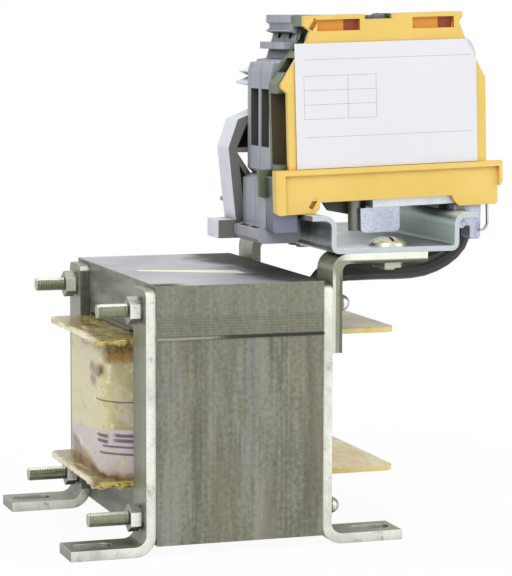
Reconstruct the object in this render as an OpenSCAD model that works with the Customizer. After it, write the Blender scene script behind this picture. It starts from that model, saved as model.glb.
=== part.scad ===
// Line reactor: a laminated choke on four feet, with a rail of terminal blocks carried beside it.
// X runs along the lamination stack, Y along the rail and Z up from the mounting plane.

/* [Core] */
// Lamination unit: width of a yoke, an outer leg and a window
core_unit = 10; // [9:0.5:12]
// Thickness of the lamination stack
stack = 34; // [28:1:44]
// Air gap between the E and the I laminations
air_gap = 0.5; // [0.3:0.1:1]

/* [Coil] */
// Wall of the bobbin tube and of its flanges
bobbin_wall = 1; // [0.8:0.1:1.6]
// How far the flanges stand out of the core on the plain side
flange_left = 9.3; // [9:0.1:11]
// How far the flanges stand out of the core on the terminal side
flange_right = 19.6; // [14:0.2:20]
// Depth of the wire wound beyond the tube at the coil's two ends
winding_end = 4.7; // [3.5:0.1:7]
// Depth of the wire wound beyond the tube inside the windows
winding_side = 5.5; // [4:0.1:5.6]
// Thickness of the tape round the winding
tape_t = 0.6; // [0.3:0.1:0.8]

/* [Feet] */
// Width of the flat bar that the feet are bent from
foot_w = 9; // [8:0.5:10]
// Thickness of that bar
foot_t = 2; // [1.5:0.25:2.5]
// Reach of a foot from the core's face
foot_reach = 17; // [16:0.5:20]
// Length of the fixing slot in a foot
slot_l = 8; // [6:0.5:8.5]
// Width of the fixing slot
slot_w = 4; // [3.6:0.2:4.4]

/* [Fasteners] */
// Diameter of the four bolts that clamp the core
bolt_d = 2.6; // [2.4:0.1:3.2]
// Diameter of the two screws that hold the rail
rail_screw_d = 3; // [2.6:0.1:3.4]

/* [Rail] */
// Distance of the rail's centre line from the core's face
rail_offset = 15.2; // [15:0.1:17]
// Height of the rail's underside above the core
rail_rise = 5.1; // [4.6:0.1:8]
// How far the rail runs past its two screws
rail_over = 4.5; // [4.5:0.25:7]
// Thickness of the two rail brackets
bracket_t = 2; // [1.5:0.25:2]

/* [Terminal blocks] */
// Width of one block along the rail
pitch = 6.5; // [6.2:0.1:7.4]
// Height of a block above the rail
block_h = 39; // [38:0.5:42]
// Length of a block across the rail
block_l = 42.4; // [42:0.2:44]
// Thickness of the cover on the last block
cover_t = 1.5; // [1:0.1:2]
// Thickness of the end stop along the rail
stop_t = 7.5; // [6.5:0.25:9]
// Tilt of the earth block on the rail, as its clamp holds it
earth_tilt = 1.7; // [0:0.1:2]

/* [Leads] */
// Outer diameter of the two coil leads
lead_d = 2.7; // [2.3:0.1:2.8]

/* [Hidden] */
$fn = 40;
cut = 1;
fine = 0.1;
corner = 0.5;
chamfer = 1;

// Core levels and bolt places
core_w = 6 * core_unit;
core_z = foot_t;
e_h = 4 * core_unit;
window_z = core_z + core_unit;
e_top = core_z + e_h;
i_z = e_top + air_gap;
core_top = i_z + core_unit;
half_stack = stack / 2;
bolt_y = core_w / 2 - core_unit / 2;
bolt_low = core_z + core_unit / 2;
bolt_high = i_z + core_unit / 2;
bolt_hole = bolt_d + 0.4;
spacer_out = 0.3;

// Bolt, nut and washer sizes in proportion to the bolt
hex_af = 1.83 * bolt_d;
hex_corner = hex_af / cos(30);
bolt_head_d = 1.6 * bolt_d;
bolt_head_h = 0.35 * bolt_d;
nut_h = 0.8 * bolt_d;
washer_d = 1.7 * bolt_d;
washer_t = 0.4;
lock_d = 1.6 * bolt_d;
lock_t = 0.5;
lock_split = 0.6;
bolt_out = 15.4;
bolt_l = stack + bolt_out;
head_slot_w = 0.7;
head_slot_d = 0.9;
head_slot_share = 0.45;
dome_step = 22.5;

// Bobbin and coil
tube_gap = 0.2;
tube_x = half_stack + tube_gap;
tube_y = core_unit + tube_gap;
bobbin_h = 3 * core_unit - 0.6;
flange_half = 2 * core_unit - 1;
flange_r = 2.5;
coil_r = 7;
wound_x = tube_x + bobbin_wall + winding_end;
wound_y = tube_y + bobbin_wall + winding_side;
flange_low = window_z + bobbin_wall;
flange_high = window_z + bobbin_h - bobbin_wall;
lead_hole = lead_d + 0.4;

// Feet
bend_max = 4.2;
bend_r = min(bend_max, bolt_low - washer_d / 2 - fine);
foot_top = core_top - 0.7;
slot_end = 1.2;
foot_round = 1.6;
slot_x = foot_reach - slot_end - slot_l / 2;

// Top hat rail of the standard 35 mm section, and its brackets
rail_w = 35;
brim_w = 4;
rail_channel = rail_w - 2 * brim_w;
rail_h = 7.5;
rail_t = 1;
rail_bend = 1.6;
brim_bend = 2.4;
rail_x = half_stack + rail_offset;
rail_z = core_top + rail_rise;
rail_top = rail_z + rail_h;
rail_len = 2 * (bolt_y + rail_over);
rail_front = -rail_len / 2;
bracket_x = half_stack + foot_t;
bracket_bend = 3.4;
bracket_drop = 9.4;
bracket_low = bolt_high - bracket_drop;
bracket_past = 6.8;
bracket_out = rail_x - bracket_x + bracket_past;
screw_head_d = 2.6 * rail_screw_d;
screw_head_h = 0.6 * rail_screw_d;
rail_nut_af = 1.9 * rail_screw_d;
rail_nut_h = 0.4 * rail_screw_d;
rail_hole = rail_screw_d + 0.4;

// Rows of blocks along the rail, from the front
earth_y = rail_front + 5;
yellow_t = 1.2;
green_y = earth_y + yellow_t;
green_t = pitch - yellow_t;
block_1_y = earth_y + pitch;
block_2_y = block_1_y + pitch;
cover_y = block_2_y + pitch;
stop_y = cover_y + cover_t;

// Terminal block outline, measured from the rail's centre and its upper face
block_x = -1;
block_half = block_l / 2;
block_left = block_half - block_x;
top_in = 3.9;
top_half = block_half - top_in;
neck_in = 1.5;
neck_half = top_half - neck_in;
lip_h = 3.3;
shoulder_drop = 8.7;
shoulder_h = block_h - shoulder_drop;
shoulder_round = 2.6;
shoulder_fall = 0.9;
shoulder_run = 1.9;
shoulder_tilt = 0.2;
shoulder_groove = 2.6;
skirt_h = 8.2;
brim_half = rail_w / 2;
brim_gap = 0.25;
arch_half = rail_channel / 2 - 0.1;
arch_h = 3;
hook_in = 1.6;
leg_half = block_left + chamfer;
toe_half = leg_half + 1.9;
toe_h = -2.8;
sole_h = -6.2;
snap_half = brim_half + 2.1;
snap_h = -3;
groove_r = 0.7;
tab_l = 2.8;
tab_h = 1.4;
tab_drop = 6.1;
toe_slot_w = 1.1;
toe_slot_wall = 0.8;
toe_slot_d = 1.8;

// Wire entries, clamps and screws inside a block
entry_front = 1.1;
entry_back = 0.5;
entry_low = 12.8;
entry_high = 24.3;
entry_w = pitch - entry_front - entry_back;
entry_y = entry_front + entry_w / 2;
entry_in = 10.5;
cage_x = 14;
cage_l = 5.5;
cage_h = 9.7;
cage_wall = 0.8;
cage_play = 0.1;
cage_w = entry_w - 2 * cage_play;
ferrule_d = 2.2;
bar_low = entry_low + cage_wall + ferrule_d;
bar_t = 1;
bar_w = 2.5;
bar_half = cage_x + 3.2;
wire_screw_d = 2.6;
wire_head_d = 3.9;
wire_head_h = 3;
well_d = wire_head_d + 0.3;
wire_head_z = entry_low + cage_h + 0.4;
link_well_x = -0.6;
link_well_l = 8;

// Earth block, in its own level before the tilt
tilt_h = 22;
earth_h = block_h + 0.3;
plate_half = brim_half + 3.5;
yellow_lip = plate_half + 1.2;
green_half = plate_half + 1.6;
entry_out = max(block_half, green_half) + cut;
seat_h = 0.55;
rim_h = 9.3;
rim_half = plate_half + 3.1;
rim_front = 1;
rim_left = 2;
rim_right = 0.7;
rim_top = 1.1;
rim_sink = 0.9;
rim_step = 0.8;
rim_gap = 1.4;
rim_step_h = 5;
slope_half = plate_half - 4.5;
slope_h = earth_h - 4.6;
slope_low = entry_high + 1.8;
earth_top_half = plate_half - 3.7;
marker_x = 0.578 * earth_top_half;
marker_w = 0.515 * earth_top_half;
marker_h = 2.2;
marker_share = 0.36;
marker_sink = 0.8;
marker_top = earth_h - 0.9;
link_notch_w = 5.8;
link_notch_x = -1.6;
link_notch_h = 1;
slit_w = 0.9;
slit_l = 2.3;
slit_lean = 32;
slit_drop = 1.8;
slit_top_x = -marker_x - marker_w / 2 - 0.8;
slit_rim_x = -arch_half - 2.75;
slit_rim_h = seat_h + 2;
earth_entry_low = 10.3;
earth_wall = 1;
earth_entry_w = green_t - earth_wall;
earth_entry_y = green_y + earth_entry_w / 2;
earth_cage_w = earth_entry_w - 2 * cage_play;
notch_drops = [2.8, 5.8, 9.6];
notch_sizes = [1.2, 2.2, 2.8];
notch_in = 1.6;
notch_lean = 0.5;
ear_half = green_half + 2.9;
ear_low = 4;
tongue_out = 13;
tongue_in = 3;
tongue_low = -0.6;

// Metal foot, jaw, screw and spring under the earth block
right_seat = 1.2;
bar_up = 1;
foot_bar_t = arch_h - bar_up;
plate_y = green_y + fine;
plate_d = green_t - earth_wall - fine;
plate_t = 1.1;
plate_top = 8;
foot_low = -3.1;
foot_gap = 1.5;
cheek_x = -rim_half;
riser_w = 4;
riser_t = 1.5;
foot_step = -riser_w / 2 - plate_t;
jaw_in = brim_half - 2.5;
jaw_out = brim_half + 3.3;
jaw_hook_x = brim_half + 1;
jaw_low = -3.6;
jaw_hook = -5.9;
foot_bar_end = jaw_in - corner;
jaw_plate_w = 8.3;
jaw_plate_x = -1.6;
jaw_plate_low = -4;
jaw_plate_t = 1;
jaw_screw_x = -6.2;
jaw_screw_low = -3.5;
jaw_screw_d = 2.6;
jaw_screw_y = plate_y + jaw_plate_t + jaw_screw_d / 2 + fine;
jaw_head_d = 3.4;
jaw_head_h = 2;
spring_x = plate_half + 0.2;
spring_t = 0.35;
spring_low = -4.8;
spring_r = 1.6;
spring_w = 0.7;

// End stop
stop_half = brim_half + 7.2;
stop_knee = stop_half + 1.6;
stop_knee_h = 12.2;
stop_brow = stop_half - 0.4;
stop_brow_h = 17.9;
stop_peg = stop_half + 3.7;
stop_peg_top = -2.5;
stop_top_h = 27.5;
stop_neck = block_left - 2.8;
stop_wall = 1.9;
stop_sink = 2;
panel_sink = stop_t - 2;
stop_hole_top = 11.2;
stop_screw_x = 3.1 - stop_half;
stop_screw_h = 1.2;
stop_screw_d = 2;
stop_head_d = 2.5;
stop_head_h = 1.2;

// Rating label
label_w = 38.4;
label_x = -0.2;
label_low = rim_h + fine;
label_drop = 5.4;
label_h = earth_h - label_low - label_drop;
label_t = 0.2;

// Leads: places on their way from the coil's upper flange, under the rail and up to the terminals
lead_out_x = half_stack + 4.5;
lead_1_y = -13;
lead_2_y = -8.5;
lead_h = entry_low + cage_wall + ferrule_d / 2;
lead_1_z = core_top - 0.7;
lead_2_z = core_top + 0.8;
lead_right = block_x + block_half;
lead_side = max(lead_right, snap_half) + lead_d / 2 + corner;
lead_bend = 4.4;
lead_end = block_x + cage_x + 4;
ferrule_in = block_x + cage_x - 2;
lead_steps = 4;
lead_sides = 8;

// Colours
core_grey = [0.44, 0.44, 0.40];
zinc = [0.78, 0.79, 0.76];
bright_steel = [0.72, 0.73, 0.74];
varnished = [0.87, 0.81, 0.60];
copper = [0.70, 0.40, 0.22];
block_grey = [0.58, 0.60, 0.63];
stop_grey = [0.78, 0.79, 0.81];
earth_green = [0.42, 0.55, 0.40];
earth_yellow = [0.93, 0.78, 0.36];
brass = [0.78, 0.66, 0.36];
label_white = [0.95, 0.95, 0.97];
lead_black = [0.10, 0.10, 0.10];

// Extrude a drawing of the YZ plane along X, centred
module along_x(l) {
    rotate([90, 0, 90]) linear_extrude(l, center = true) children();
}

// Extrude a drawing of the XZ plane along Y, centred
module along_y(l) {
    rotate([90, 0, 0]) linear_extrude(l, center = true) children();
}

// Extrude a drawing made about the rail's centre and upper face, from y back by the depth
module on_rail(y, depth) {
    translate([rail_x, y + depth / 2, rail_top]) along_y(depth) children();
}

// Place children at a point measured from the rail's centre and upper face
module at_rail(d, y, h) {
    translate([rail_x + d, y, rail_top + h]) children();
}

// Tilt children with the earth block
module tilted() {
    at_rail(0, 0, tilt_h) rotate([0, -earth_tilt, 0]) {
        translate([-rail_x, 0, -rail_top - tilt_h]) children();
    }
}

// Low domed head with a screwdriver slot
module slotted_head(d, h) {
    difference() {
        rotate_extrude() {
            polygon(concat([[0, 0]], [for (a = [0 : dome_step : 90]) [d / 2 * sin(a), h * cos(a)]]));
        }
        translate([-head_slot_w / 2, -d, h * (1 - head_slot_share)]) cube([head_slot_w, 2 * d, h]);
    }
}

// Rectangle with round corners between two opposite corners
module round_rect(x0, x1, half_y, r) {
    translate([x0 + r, -half_y]) square([x1 - x0 - 2 * r, 2 * half_y]);
    translate([x0, r - half_y]) square([x1 - x0, 2 * half_y - 2 * r]);
    for (x = [x0 + r, x1 - r], y = [r - half_y, half_y - r]) {
        translate([x, y]) circle(r);
    }
}

// Section of a bar bent from upright to level round an outer radius
module bent_bar(up, out, t, r) {
    translate([r, r]) intersection() {
        difference() {
            circle(r);
            circle(r - t);
        }
        translate([-r, -r]) square(r);
    }
    translate([0, r]) square([t, up - r]);
    translate([r, 0]) square([out - r, t]);
}

// Strip of a width with its two upper corners rounded
module round_top(w, top, r) {
    translate([-w / 2, -cut]) square([w, top - r + cut]);
    translate([r - w / 2, 0]) square([w - 2 * r, top]);
    for (s = [-1, 1]) translate([s * (w / 2 - r), top - r]) circle(r);
}

// Bores along X for two bolts at one height
module bolt_bores(z, d) {
    for (y = [-bolt_y, bolt_y]) {
        translate([0, y, z]) rotate([0, 90, 0]) cylinder(d = d, h = stack + 2 * cut, center = true);
    }
}

// Place children on each clamping bolt at the head side or the nut side, pointing outward
module at_bolts(side) {
    for (y = [-bolt_y, bolt_y], z = [bolt_low, bolt_high]) {
        out = half_stack + foot_t + (side > 0 && z == bolt_high ? bracket_t : 0);
        translate([side * out, y, z]) rotate([0, side * 90, 0]) children();
    }
}

module e_core() {
    color(core_grey) difference() {
        along_x(stack) difference() {
            translate([-core_w / 2, core_z]) square([core_w, e_h]);
            for (s = [-1, 1]) {
                translate([1.5 * s * core_unit - core_unit / 2, window_z]) square([core_unit, e_h]);
            }
        }
        bolt_bores(bolt_low, bolt_hole);
    }
}

module i_yoke() {
    color(core_grey) difference() {
        along_x(stack) translate([-core_w / 2, i_z]) square([core_w, core_unit]);
        bolt_bores(bolt_high, bolt_hole);
    }
}

module gap_spacer() {
    spacer_w = core_w + 2 * spacer_out;
    color(varnished) translate([-half_stack, -spacer_w / 2, e_top]) cube([stack, spacer_w, air_gap]);
}

// One bobbin flange, open round the centre leg, with holes for the leads when drilled
module flange(z, drilled) {
    translate([0, 0, z]) linear_extrude(bobbin_wall) difference() {
        round_rect(-half_stack - flange_left, half_stack + flange_right, flange_half, flange_r);
        square([2 * tube_x, 2 * tube_y], center = true);
        if (drilled) {
            for (y = [lead_1_y, lead_2_y]) translate([lead_out_x, y]) circle(d = lead_hole);
        }
    }
}

module bobbin() {
    color(varnished) {
        flange(window_z, false);
        flange(flange_high, true);
        translate([0, 0, window_z]) linear_extrude(bobbin_h) difference() {
            square([2 * (tube_x + bobbin_wall), 2 * (tube_y + bobbin_wall)], center = true);
            square([2 * tube_x, 2 * tube_y], center = true);
        }
    }
}

module winding() {
    color(copper) translate([0, 0, flange_low]) linear_extrude(flange_high - flange_low) difference() {
        round_rect(-wound_x, wound_x, wound_y, coil_r);
        square([2 * (tube_x + bobbin_wall), 2 * (tube_y + bobbin_wall)], center = true);
    }
}

module outer_tape() {
    color(varnished) translate([0, 0, flange_low]) linear_extrude(flange_high - flange_low) difference() {
        round_rect(-wound_x - tape_t, wound_x + tape_t, wound_y + tape_t, coil_r + tape_t);
        round_rect(-wound_x, wound_x, wound_y, coil_r);
    }
}

// A foot bent from flat bar, for one side and one end of the core
module foot(side_x, side_y) {
    turned = side_x < 0 ? 1 : 0;
    color(zinc) mirror([turned, 0, 0]) translate([half_stack, side_y * bolt_y, 0]) difference() {
        intersection() {
            along_y(foot_w) bent_bar(foot_top, foot_reach, foot_t, bend_r);
            along_x(2 * foot_reach + 2 * cut) round_top(foot_w, foot_top, foot_round);
        }
        for (z = [bolt_low, bolt_high]) {
            translate([-cut, 0, z]) rotate([0, 90, 0]) cylinder(d = bolt_hole, h = foot_t + 2 * cut);
        }
        translate([slot_x, 0, -cut]) linear_extrude(foot_t + 2 * cut) {
            square([slot_l - slot_w, slot_w], center = true);
            for (s = [-1, 1]) translate([s * (slot_l - slot_w) / 2, 0]) circle(d = slot_w);
        }
    }
}

module core_bolts() {
    seat = washer_t + lock_t;
    color(bright_steel) at_bolts(1) {
        translate([0, 0, seat]) slotted_head(bolt_head_d, bolt_head_h);
        translate([0, 0, seat - bolt_l]) cylinder(d = bolt_d, h = bolt_l);
    }
}

module core_nuts() {
    color(bright_steel) at_bolts(-1) translate([0, 0, washer_t]) difference() {
        cylinder(d = hex_corner, h = nut_h, $fn = 6);
        translate([0, 0, -cut]) cylinder(d = bolt_d, h = nut_h + 2 * cut);
    }
}

module ring(outer, inner, t) {
    difference() {
        cylinder(d = outer, h = t);
        translate([0, 0, -cut]) cylinder(d = inner, h = t + 2 * cut);
    }
}

module core_washers() {
    color(zinc) for (side = [-1, 1]) at_bolts(side) ring(washer_d, bolt_hole, washer_t);
}

module core_lock_washers() {
    color(zinc) at_bolts(1) translate([0, 0, washer_t]) difference() {
        ring(lock_d, bolt_hole, lock_t);
        translate([0, -lock_split / 2, -cut]) cube([lock_d, lock_split, lock_t + 2 * cut]);
    }
}

// A bracket on two bolts' line that turns out under the rail
module rail_bracket(side_y) {
    up = rail_z - bracket_low;
    color(zinc) translate([0, side_y * bolt_y, 0]) difference() {
        translate([bracket_x, 0, rail_z]) mirror([0, 0, 1]) along_y(foot_w) {
            bent_bar(up, bracket_out, bracket_t, bracket_bend);
        }
        translate([bracket_x - cut, 0, bolt_high]) rotate([0, 90, 0]) {
            cylinder(d = bolt_hole, h = bracket_t + 2 * cut);
        }
        translate([rail_x, 0, rail_z - bracket_t - cut]) cylinder(d = rail_hole, h = bracket_t + 2 * cut);
    }
}

// Half of the rail's section, bent twice
module rail_half() {
    translate([rail_channel / 2, 0]) mirror([1, 0]) {
        bent_bar(rail_h / 2, rail_channel / 2, rail_t, rail_bend);
    }
    translate([rail_channel / 2 - rail_t, rail_h]) mirror([0, 1]) {
        bent_bar(rail_h / 2, brim_w + rail_t, rail_t, brim_bend);
    }
}

module mounting_rail() {
    color(zinc) difference() {
        translate([rail_x, 0, rail_z]) along_y(rail_len) {
            rail_half();
            mirror([1, 0]) rail_half();
        }
        for (y = [-bolt_y, bolt_y]) {
            translate([rail_x, y, rail_z - cut]) cylinder(d = rail_hole, h = rail_t + 2 * cut);
        }
    }
}

module rail_screws() {
    shank = rail_t + bracket_t + rail_nut_h + corner;
    color(bright_steel) for (y = [-bolt_y, bolt_y]) translate([rail_x, y, rail_z + rail_t]) {
        slotted_head(screw_head_d, screw_head_h);
        translate([0, 0, -shank]) cylinder(d = rail_screw_d, h = shank);
    }
}

module rail_nuts() {
    color(bright_steel) for (y = [-bolt_y, bolt_y]) {
        translate([rail_x, y, rail_z - bracket_t - rail_nut_h]) difference() {
            cylinder(d = rail_nut_af / cos(30), h = rail_nut_h, $fn = 6);
            translate([0, 0, -cut]) cylinder(d = rail_screw_d, h = rail_nut_h + 2 * cut);
        }
    }
}

// Upper half outline of a grey block: side, shoulder, neck and lip
block_side = [
    [block_half, skirt_h],
    [block_half, shoulder_h - shoulder_round],
    [block_half - corner, shoulder_h - shoulder_fall],
    [top_half + shoulder_run, shoulder_h - shoulder_tilt],
    [top_half, shoulder_h],
    [neck_half, block_h - lip_h - corner],
    [top_half, block_h - lip_h],
    [top_half, block_h]
];

// Left foot, from the skirt down: a leg and a toe for the release tool
block_left_foot = [
    [chamfer - block_left, skirt_h - chamfer],
    [-leg_half, skirt_h - 2 * chamfer],
    [-leg_half, toe_h],
    [-toe_half, toe_h - corner],
    [-toe_half, sole_h + chamfer],
    [chamfer - toe_half, sole_h]
];

// Hook under the left brim and the seat on it, up to the arch
brim_hook = [
    [hook_in - brim_half - chamfer, sole_h],
    [hook_in - brim_half, sole_h + chamfer],
    [hook_in - brim_half, -rail_t - fine],
    [-brim_half - brim_gap, -rail_t - fine],
    [-brim_half - brim_gap, 0],
    [-arch_half - corner, 0],
    [-arch_half, arch_h]
];

// Right foot, from the arch to the skirt: a hook that snaps over the other brim
block_right_foot = [
    [arch_half, arch_h],
    [arch_half + corner, 0],
    [brim_half + brim_gap, 0],
    [brim_half + brim_gap, -rail_t - fine],
    [brim_half - chamfer, -rail_t - fine],
    [brim_half, snap_h],
    [snap_half, snap_h],
    [snap_half, skirt_h - chamfer]
];

function flip(points) = [for (i = [len(points) - 1 : -1 : 0]) [-points[i].x, points[i].y]];
function shift(points) = [for (p = points) [p.x + block_x, p.y]];

// Outline of a grey block, with marker tabs on the necks and grooves in the lips and shoulders
module block_outline() {
    difference() {
        union() {
            polygon(concat(
                shift(block_side), shift(flip(block_side)), block_left_foot, brim_hook, block_right_foot
            ));
            for (s = [-1, 1]) {
                translate([block_x + s * (neck_half + tab_l / 2), block_h - tab_drop]) {
                    square([tab_l, tab_h], center = true);
                }
            }
        }
        for (s = [-1, 1]) {
            translate([block_x + s * top_half, block_h - lip_h + chamfer]) circle(groove_r);
            translate([block_x + s * (top_half + shoulder_groove), shoulder_h - fine]) circle(groove_r);
        }
    }
}

// Room for the clamp cages of one block, their wire entries, screw wells and the current bar
module clamp_room(y, w, low) {
    for (s = [-1, 1]) {
        at_rail(block_x + s * (entry_in + entry_out) / 2, y, (low + entry_high) / 2) {
            cube([entry_out - entry_in, w, entry_high - low], center = true);
        }
        at_rail(block_x + s * cage_x, y, entry_high - cut) cylinder(d = well_d, h = block_h);
    }
    at_rail(block_x, y, bar_low + bar_t / 2) cube([2 * bar_half, bar_w, bar_t], center = true);
}

module terminal_housing(y) {
    middle = y + entry_y;
    color(block_grey) difference() {
        on_rail(y, pitch) block_outline();
        clamp_room(middle, entry_w, entry_low);
        at_rail(link_well_x, middle, block_h - link_well_l) cylinder(d = well_d, h = block_h);
        at_rail(-(leg_half + toe_half) / 2, y + pitch / 2, toe_h) {
            cube([toe_slot_w, pitch - 2 * toe_slot_wall, 2 * toe_slot_d], center = true);
        }
    }
}

module terminal_end_cover() {
    color(block_grey) on_rail(cover_y, cover_t) block_outline();
}

// Current bar of one block
module current_bar(y) {
    at_rail(block_x, y, bar_low + bar_t / 2) cube([2 * bar_half, bar_w, bar_t], center = true);
}

// The two clamp cages of one block: square tubes with a threaded top
module clamp_cages(y, w, low) {
    h = entry_low + cage_h - low;
    for (s = [-1, 1]) at_rail(block_x + s * cage_x, y, low + h / 2) difference() {
        cube([cage_l, w, h], center = true);
        cube([cage_l + 2 * cut, w - 2 * cage_wall, h - 2 * cage_wall], center = true);
        cylinder(d = wire_screw_d, h = h);
    }
}

// The two wire screws of one block, standing on the current bar
module wire_screws(y) {
    for (s = [-1, 1]) {
        at_rail(block_x + s * cage_x, y, bar_low + bar_t) {
            cylinder(d = wire_screw_d, h = wire_head_z - bar_low - bar_t);
        }
        at_rail(block_x + s * cage_x, y, wire_head_z) difference() {
            cylinder(d = wire_head_d, h = wire_head_h);
            translate([-wire_head_d, -head_slot_w / 2, wire_head_h - head_slot_d]) {
                cube([2 * wire_head_d, head_slot_w, wire_head_h]);
            }
        }
    }
}

block_middles = [block_1_y + entry_y, block_2_y + entry_y];

module terminal_bars() {
    color(brass) for (y = block_middles) current_bar(y);
}

module terminal_cages() {
    color(bright_steel) for (y = block_middles) clamp_cages(y, cage_w, entry_low);
}

module terminal_screws() {
    color(bright_steel) for (y = block_middles) wire_screws(y);
}

// Upper outline of the earth block's halves, up the right side and down over the lip to the left side
function earth_outline(lip, left) = [
    [plate_half, arch_h],
    [plate_half, slope_low],
    [slope_half, slope_h],
    [slope_half - chamfer, earth_h - 2 * chamfer],
    [earth_top_half - chamfer, earth_h - chamfer],
    [earth_top_half - chamfer, earth_h],
    [-earth_top_half, earth_h],
    [-earth_top_half, earth_h - 2 * chamfer],
    [corner - slope_half, earth_h - 3 * chamfer],
    [-slope_half, slope_h],
    [-lip, slope_low],
    [-lip, entry_high + chamfer],
    [-left, entry_high],
    [-left, arch_h]
];

// Lower outline of the yellow half: a wide rim with a foot over each brim and an arch between
rim_outline = [
    [rim_half, rim_h],
    [rim_half, rim_step_h],
    [rim_half - rim_step, rim_step_h - rim_step],
    [rim_half - rim_step, seat_h + corner],
    [rim_half - rim_step - corner, seat_h],
    [arch_half + 1.5 * chamfer, seat_h],
    [arch_half + corner, seat_h + chamfer],
    [arch_half, arch_h - 3 * fine],
    [-arch_half - rim_gap, arch_h - 3 * fine],
    [-arch_half - rim_gap, seat_h + chamfer],
    [-arch_half - rim_gap - chamfer, seat_h],
    [corner - rim_half, seat_h],
    [-rim_half, seat_h + corner],
    [-rim_half, rim_h]
];

// Slanting slot in the front of the yellow half
module slit(x, h) {
    translate([x, h]) rotate(-slit_lean) square([slit_w, slit_l], center = true);
}

// Notch in the top edge over the link well
module link_notch() {
    translate([link_notch_x - link_notch_w / 2, earth_h - link_notch_h]) {
        square([link_notch_w, link_notch_h + cut]);
    }
}

// The two marker windows of the yellow half, or a share of each at its right end
module marker_windows(share) {
    for (s = [-1, 1]) {
        translate([s * marker_x + marker_w / 2 - share * marker_w, marker_top - marker_h]) {
            square([share * marker_w, marker_h]);
        }
    }
}

module earth_housing_yellow() {
    rim_y = earth_y - rim_front;
    color(earth_yellow) tilted() {
        difference() {
            on_rail(earth_y, yellow_t) difference() {
                polygon(earth_outline(yellow_lip, plate_half));
                link_notch();
                marker_windows(marker_share);
            }
            on_rail(earth_y - cut, marker_sink + cut) {
                marker_windows(1);
                slit(slit_top_x, earth_h - slit_drop);
            }
        }
        difference() {
            on_rail(rim_y, yellow_t + rim_front) polygon(rim_outline);
            on_rail(rim_y - cut, rim_sink + marker_sink + cut) slit(slit_rim_x, slit_rim_h);
            on_rail(rim_y - cut, rim_sink + cut) {
                translate([rim_left - rim_half, -cut]) {
                    square([2 * rim_half - rim_left - rim_right, rim_h - rim_top + cut]);
                }
            }
        }
    }
}

// Openings down the slopes of the green half, between its marker ribs
module slope_notches() {
    for (s = [-1, 1], i = [0 : len(notch_drops) - 1]) {
        inner = slope_half - notch_in + notch_lean * (notch_drops[i] - notch_drops[0]);
        at_rail(s * (inner + block_half) / 2, earth_entry_y, earth_h - notch_drops[i]) {
            cube([block_half - inner + cut, earth_entry_w, notch_sizes[i]], center = true);
        }
    }
}

// Ear of the green half's back wall beside the metal foot
green_ear = [
    [corner - green_half, rim_h],
    [-ear_half, rim_h],
    [-ear_half, ear_low],
    [corner - green_half, ear_low - chamfer]
];

// Tongue of the back wall that slants down into the rail's channel
green_tongue = [
    [-tongue_out, arch_h + corner],
    [2 * chamfer - tongue_out, corner],
    [-2 * tongue_in, tongue_low],
    [-tongue_in, tongue_low],
    [-tongue_in, arch_h + corner]
];

module earth_housing_green() {
    foot_end = foot_step + plate_t;
    color(earth_green) tilted() {
        difference() {
            on_rail(green_y, green_t) difference() {
                polygon(earth_outline(green_half, green_half));
                link_notch();
            }
            clamp_room(earth_entry_y, earth_entry_w, earth_entry_low);
            slope_notches();
            at_rail(link_well_x, earth_entry_y, earth_h - link_well_l) cylinder(d = well_d, h = earth_h);
            at_rail(0, earth_entry_y, (arch_h + bar_low) / 2) {
                cube([riser_w, riser_t, bar_low - arch_h], center = true);
            }
            on_rail(green_y - cut, cut + fine + plate_d) {
                translate([-green_half - cut, arch_h - cut]) {
                    square([green_half + cut + foot_end, foot_bar_t + cut]);
                }
            }
            at_rail(jaw_screw_x, jaw_screw_y, arch_h) cylinder(d = jaw_head_d, h = foot_bar_t + jaw_head_h);
        }
        on_rail(green_y + earth_entry_w, earth_wall) {
            polygon(green_ear);
            polygon(green_tongue);
        }
    }
}

module earth_bar() {
    color(brass) tilted() current_bar(earth_entry_y);
}

module earth_cages() {
    color(bright_steel) tilted() clamp_cages(earth_entry_y, earth_cage_w, earth_entry_low);
}

module earth_screws() {
    color(bright_steel) tilted() wire_screws(earth_entry_y);
}

// Stamped foot of the earth block: a stepped bar over the rail, a cheek beside it and a riser
module earth_foot() {
    color(bright_steel) tilted() difference() {
        union() {
            on_rail(plate_y, plate_d) {
                translate([foot_step, bar_up]) square([foot_bar_end - foot_step, foot_bar_t]);
                translate([foot_step, bar_up]) square([plate_t, 2 * foot_bar_t]);
                translate([cheek_x, arch_h]) square([foot_step + plate_t - cheek_x, foot_bar_t]);
                translate([cheek_x, 0]) square([plate_t, plate_top]);
                translate([0, (arch_h + foot_low) / 2]) {
                    round_rect(cheek_x, -brim_half - foot_gap, (arch_h - foot_low) / 2, corner);
                }
            }
            at_rail(0, earth_entry_y, (arch_h + bar_low) / 2) {
                cube([riser_w, riser_t, bar_low - arch_h], center = true);
            }
        }
        at_rail(jaw_screw_x, jaw_screw_y, 0) cylinder(d = jaw_screw_d, h = arch_h + foot_bar_t + cut);
    }
}

// Jaw that grips the right brim from above and below
jaw_outline = [
    [jaw_in, 0],
    [brim_half + brim_gap, 0],
    [brim_half + brim_gap, -rail_t],
    [jaw_in, -rail_t],
    [jaw_in, jaw_low + chamfer],
    [jaw_in + chamfer, jaw_low],
    [brim_half - corner, jaw_low],
    [brim_half, jaw_low + corner],
    [jaw_hook_x - fine, jaw_low + corner],
    [jaw_hook_x, jaw_low],
    [jaw_hook_x, jaw_hook + corner],
    [jaw_hook_x + corner, jaw_hook],
    [jaw_out - corner, jaw_hook],
    [jaw_out, jaw_hook + corner],
    [jaw_out, right_seat],
    [jaw_in, right_seat]
];

module earth_rail_jaw() {
    color(bright_steel) on_rail(plate_y, plate_d) polygon(jaw_outline);
}

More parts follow.
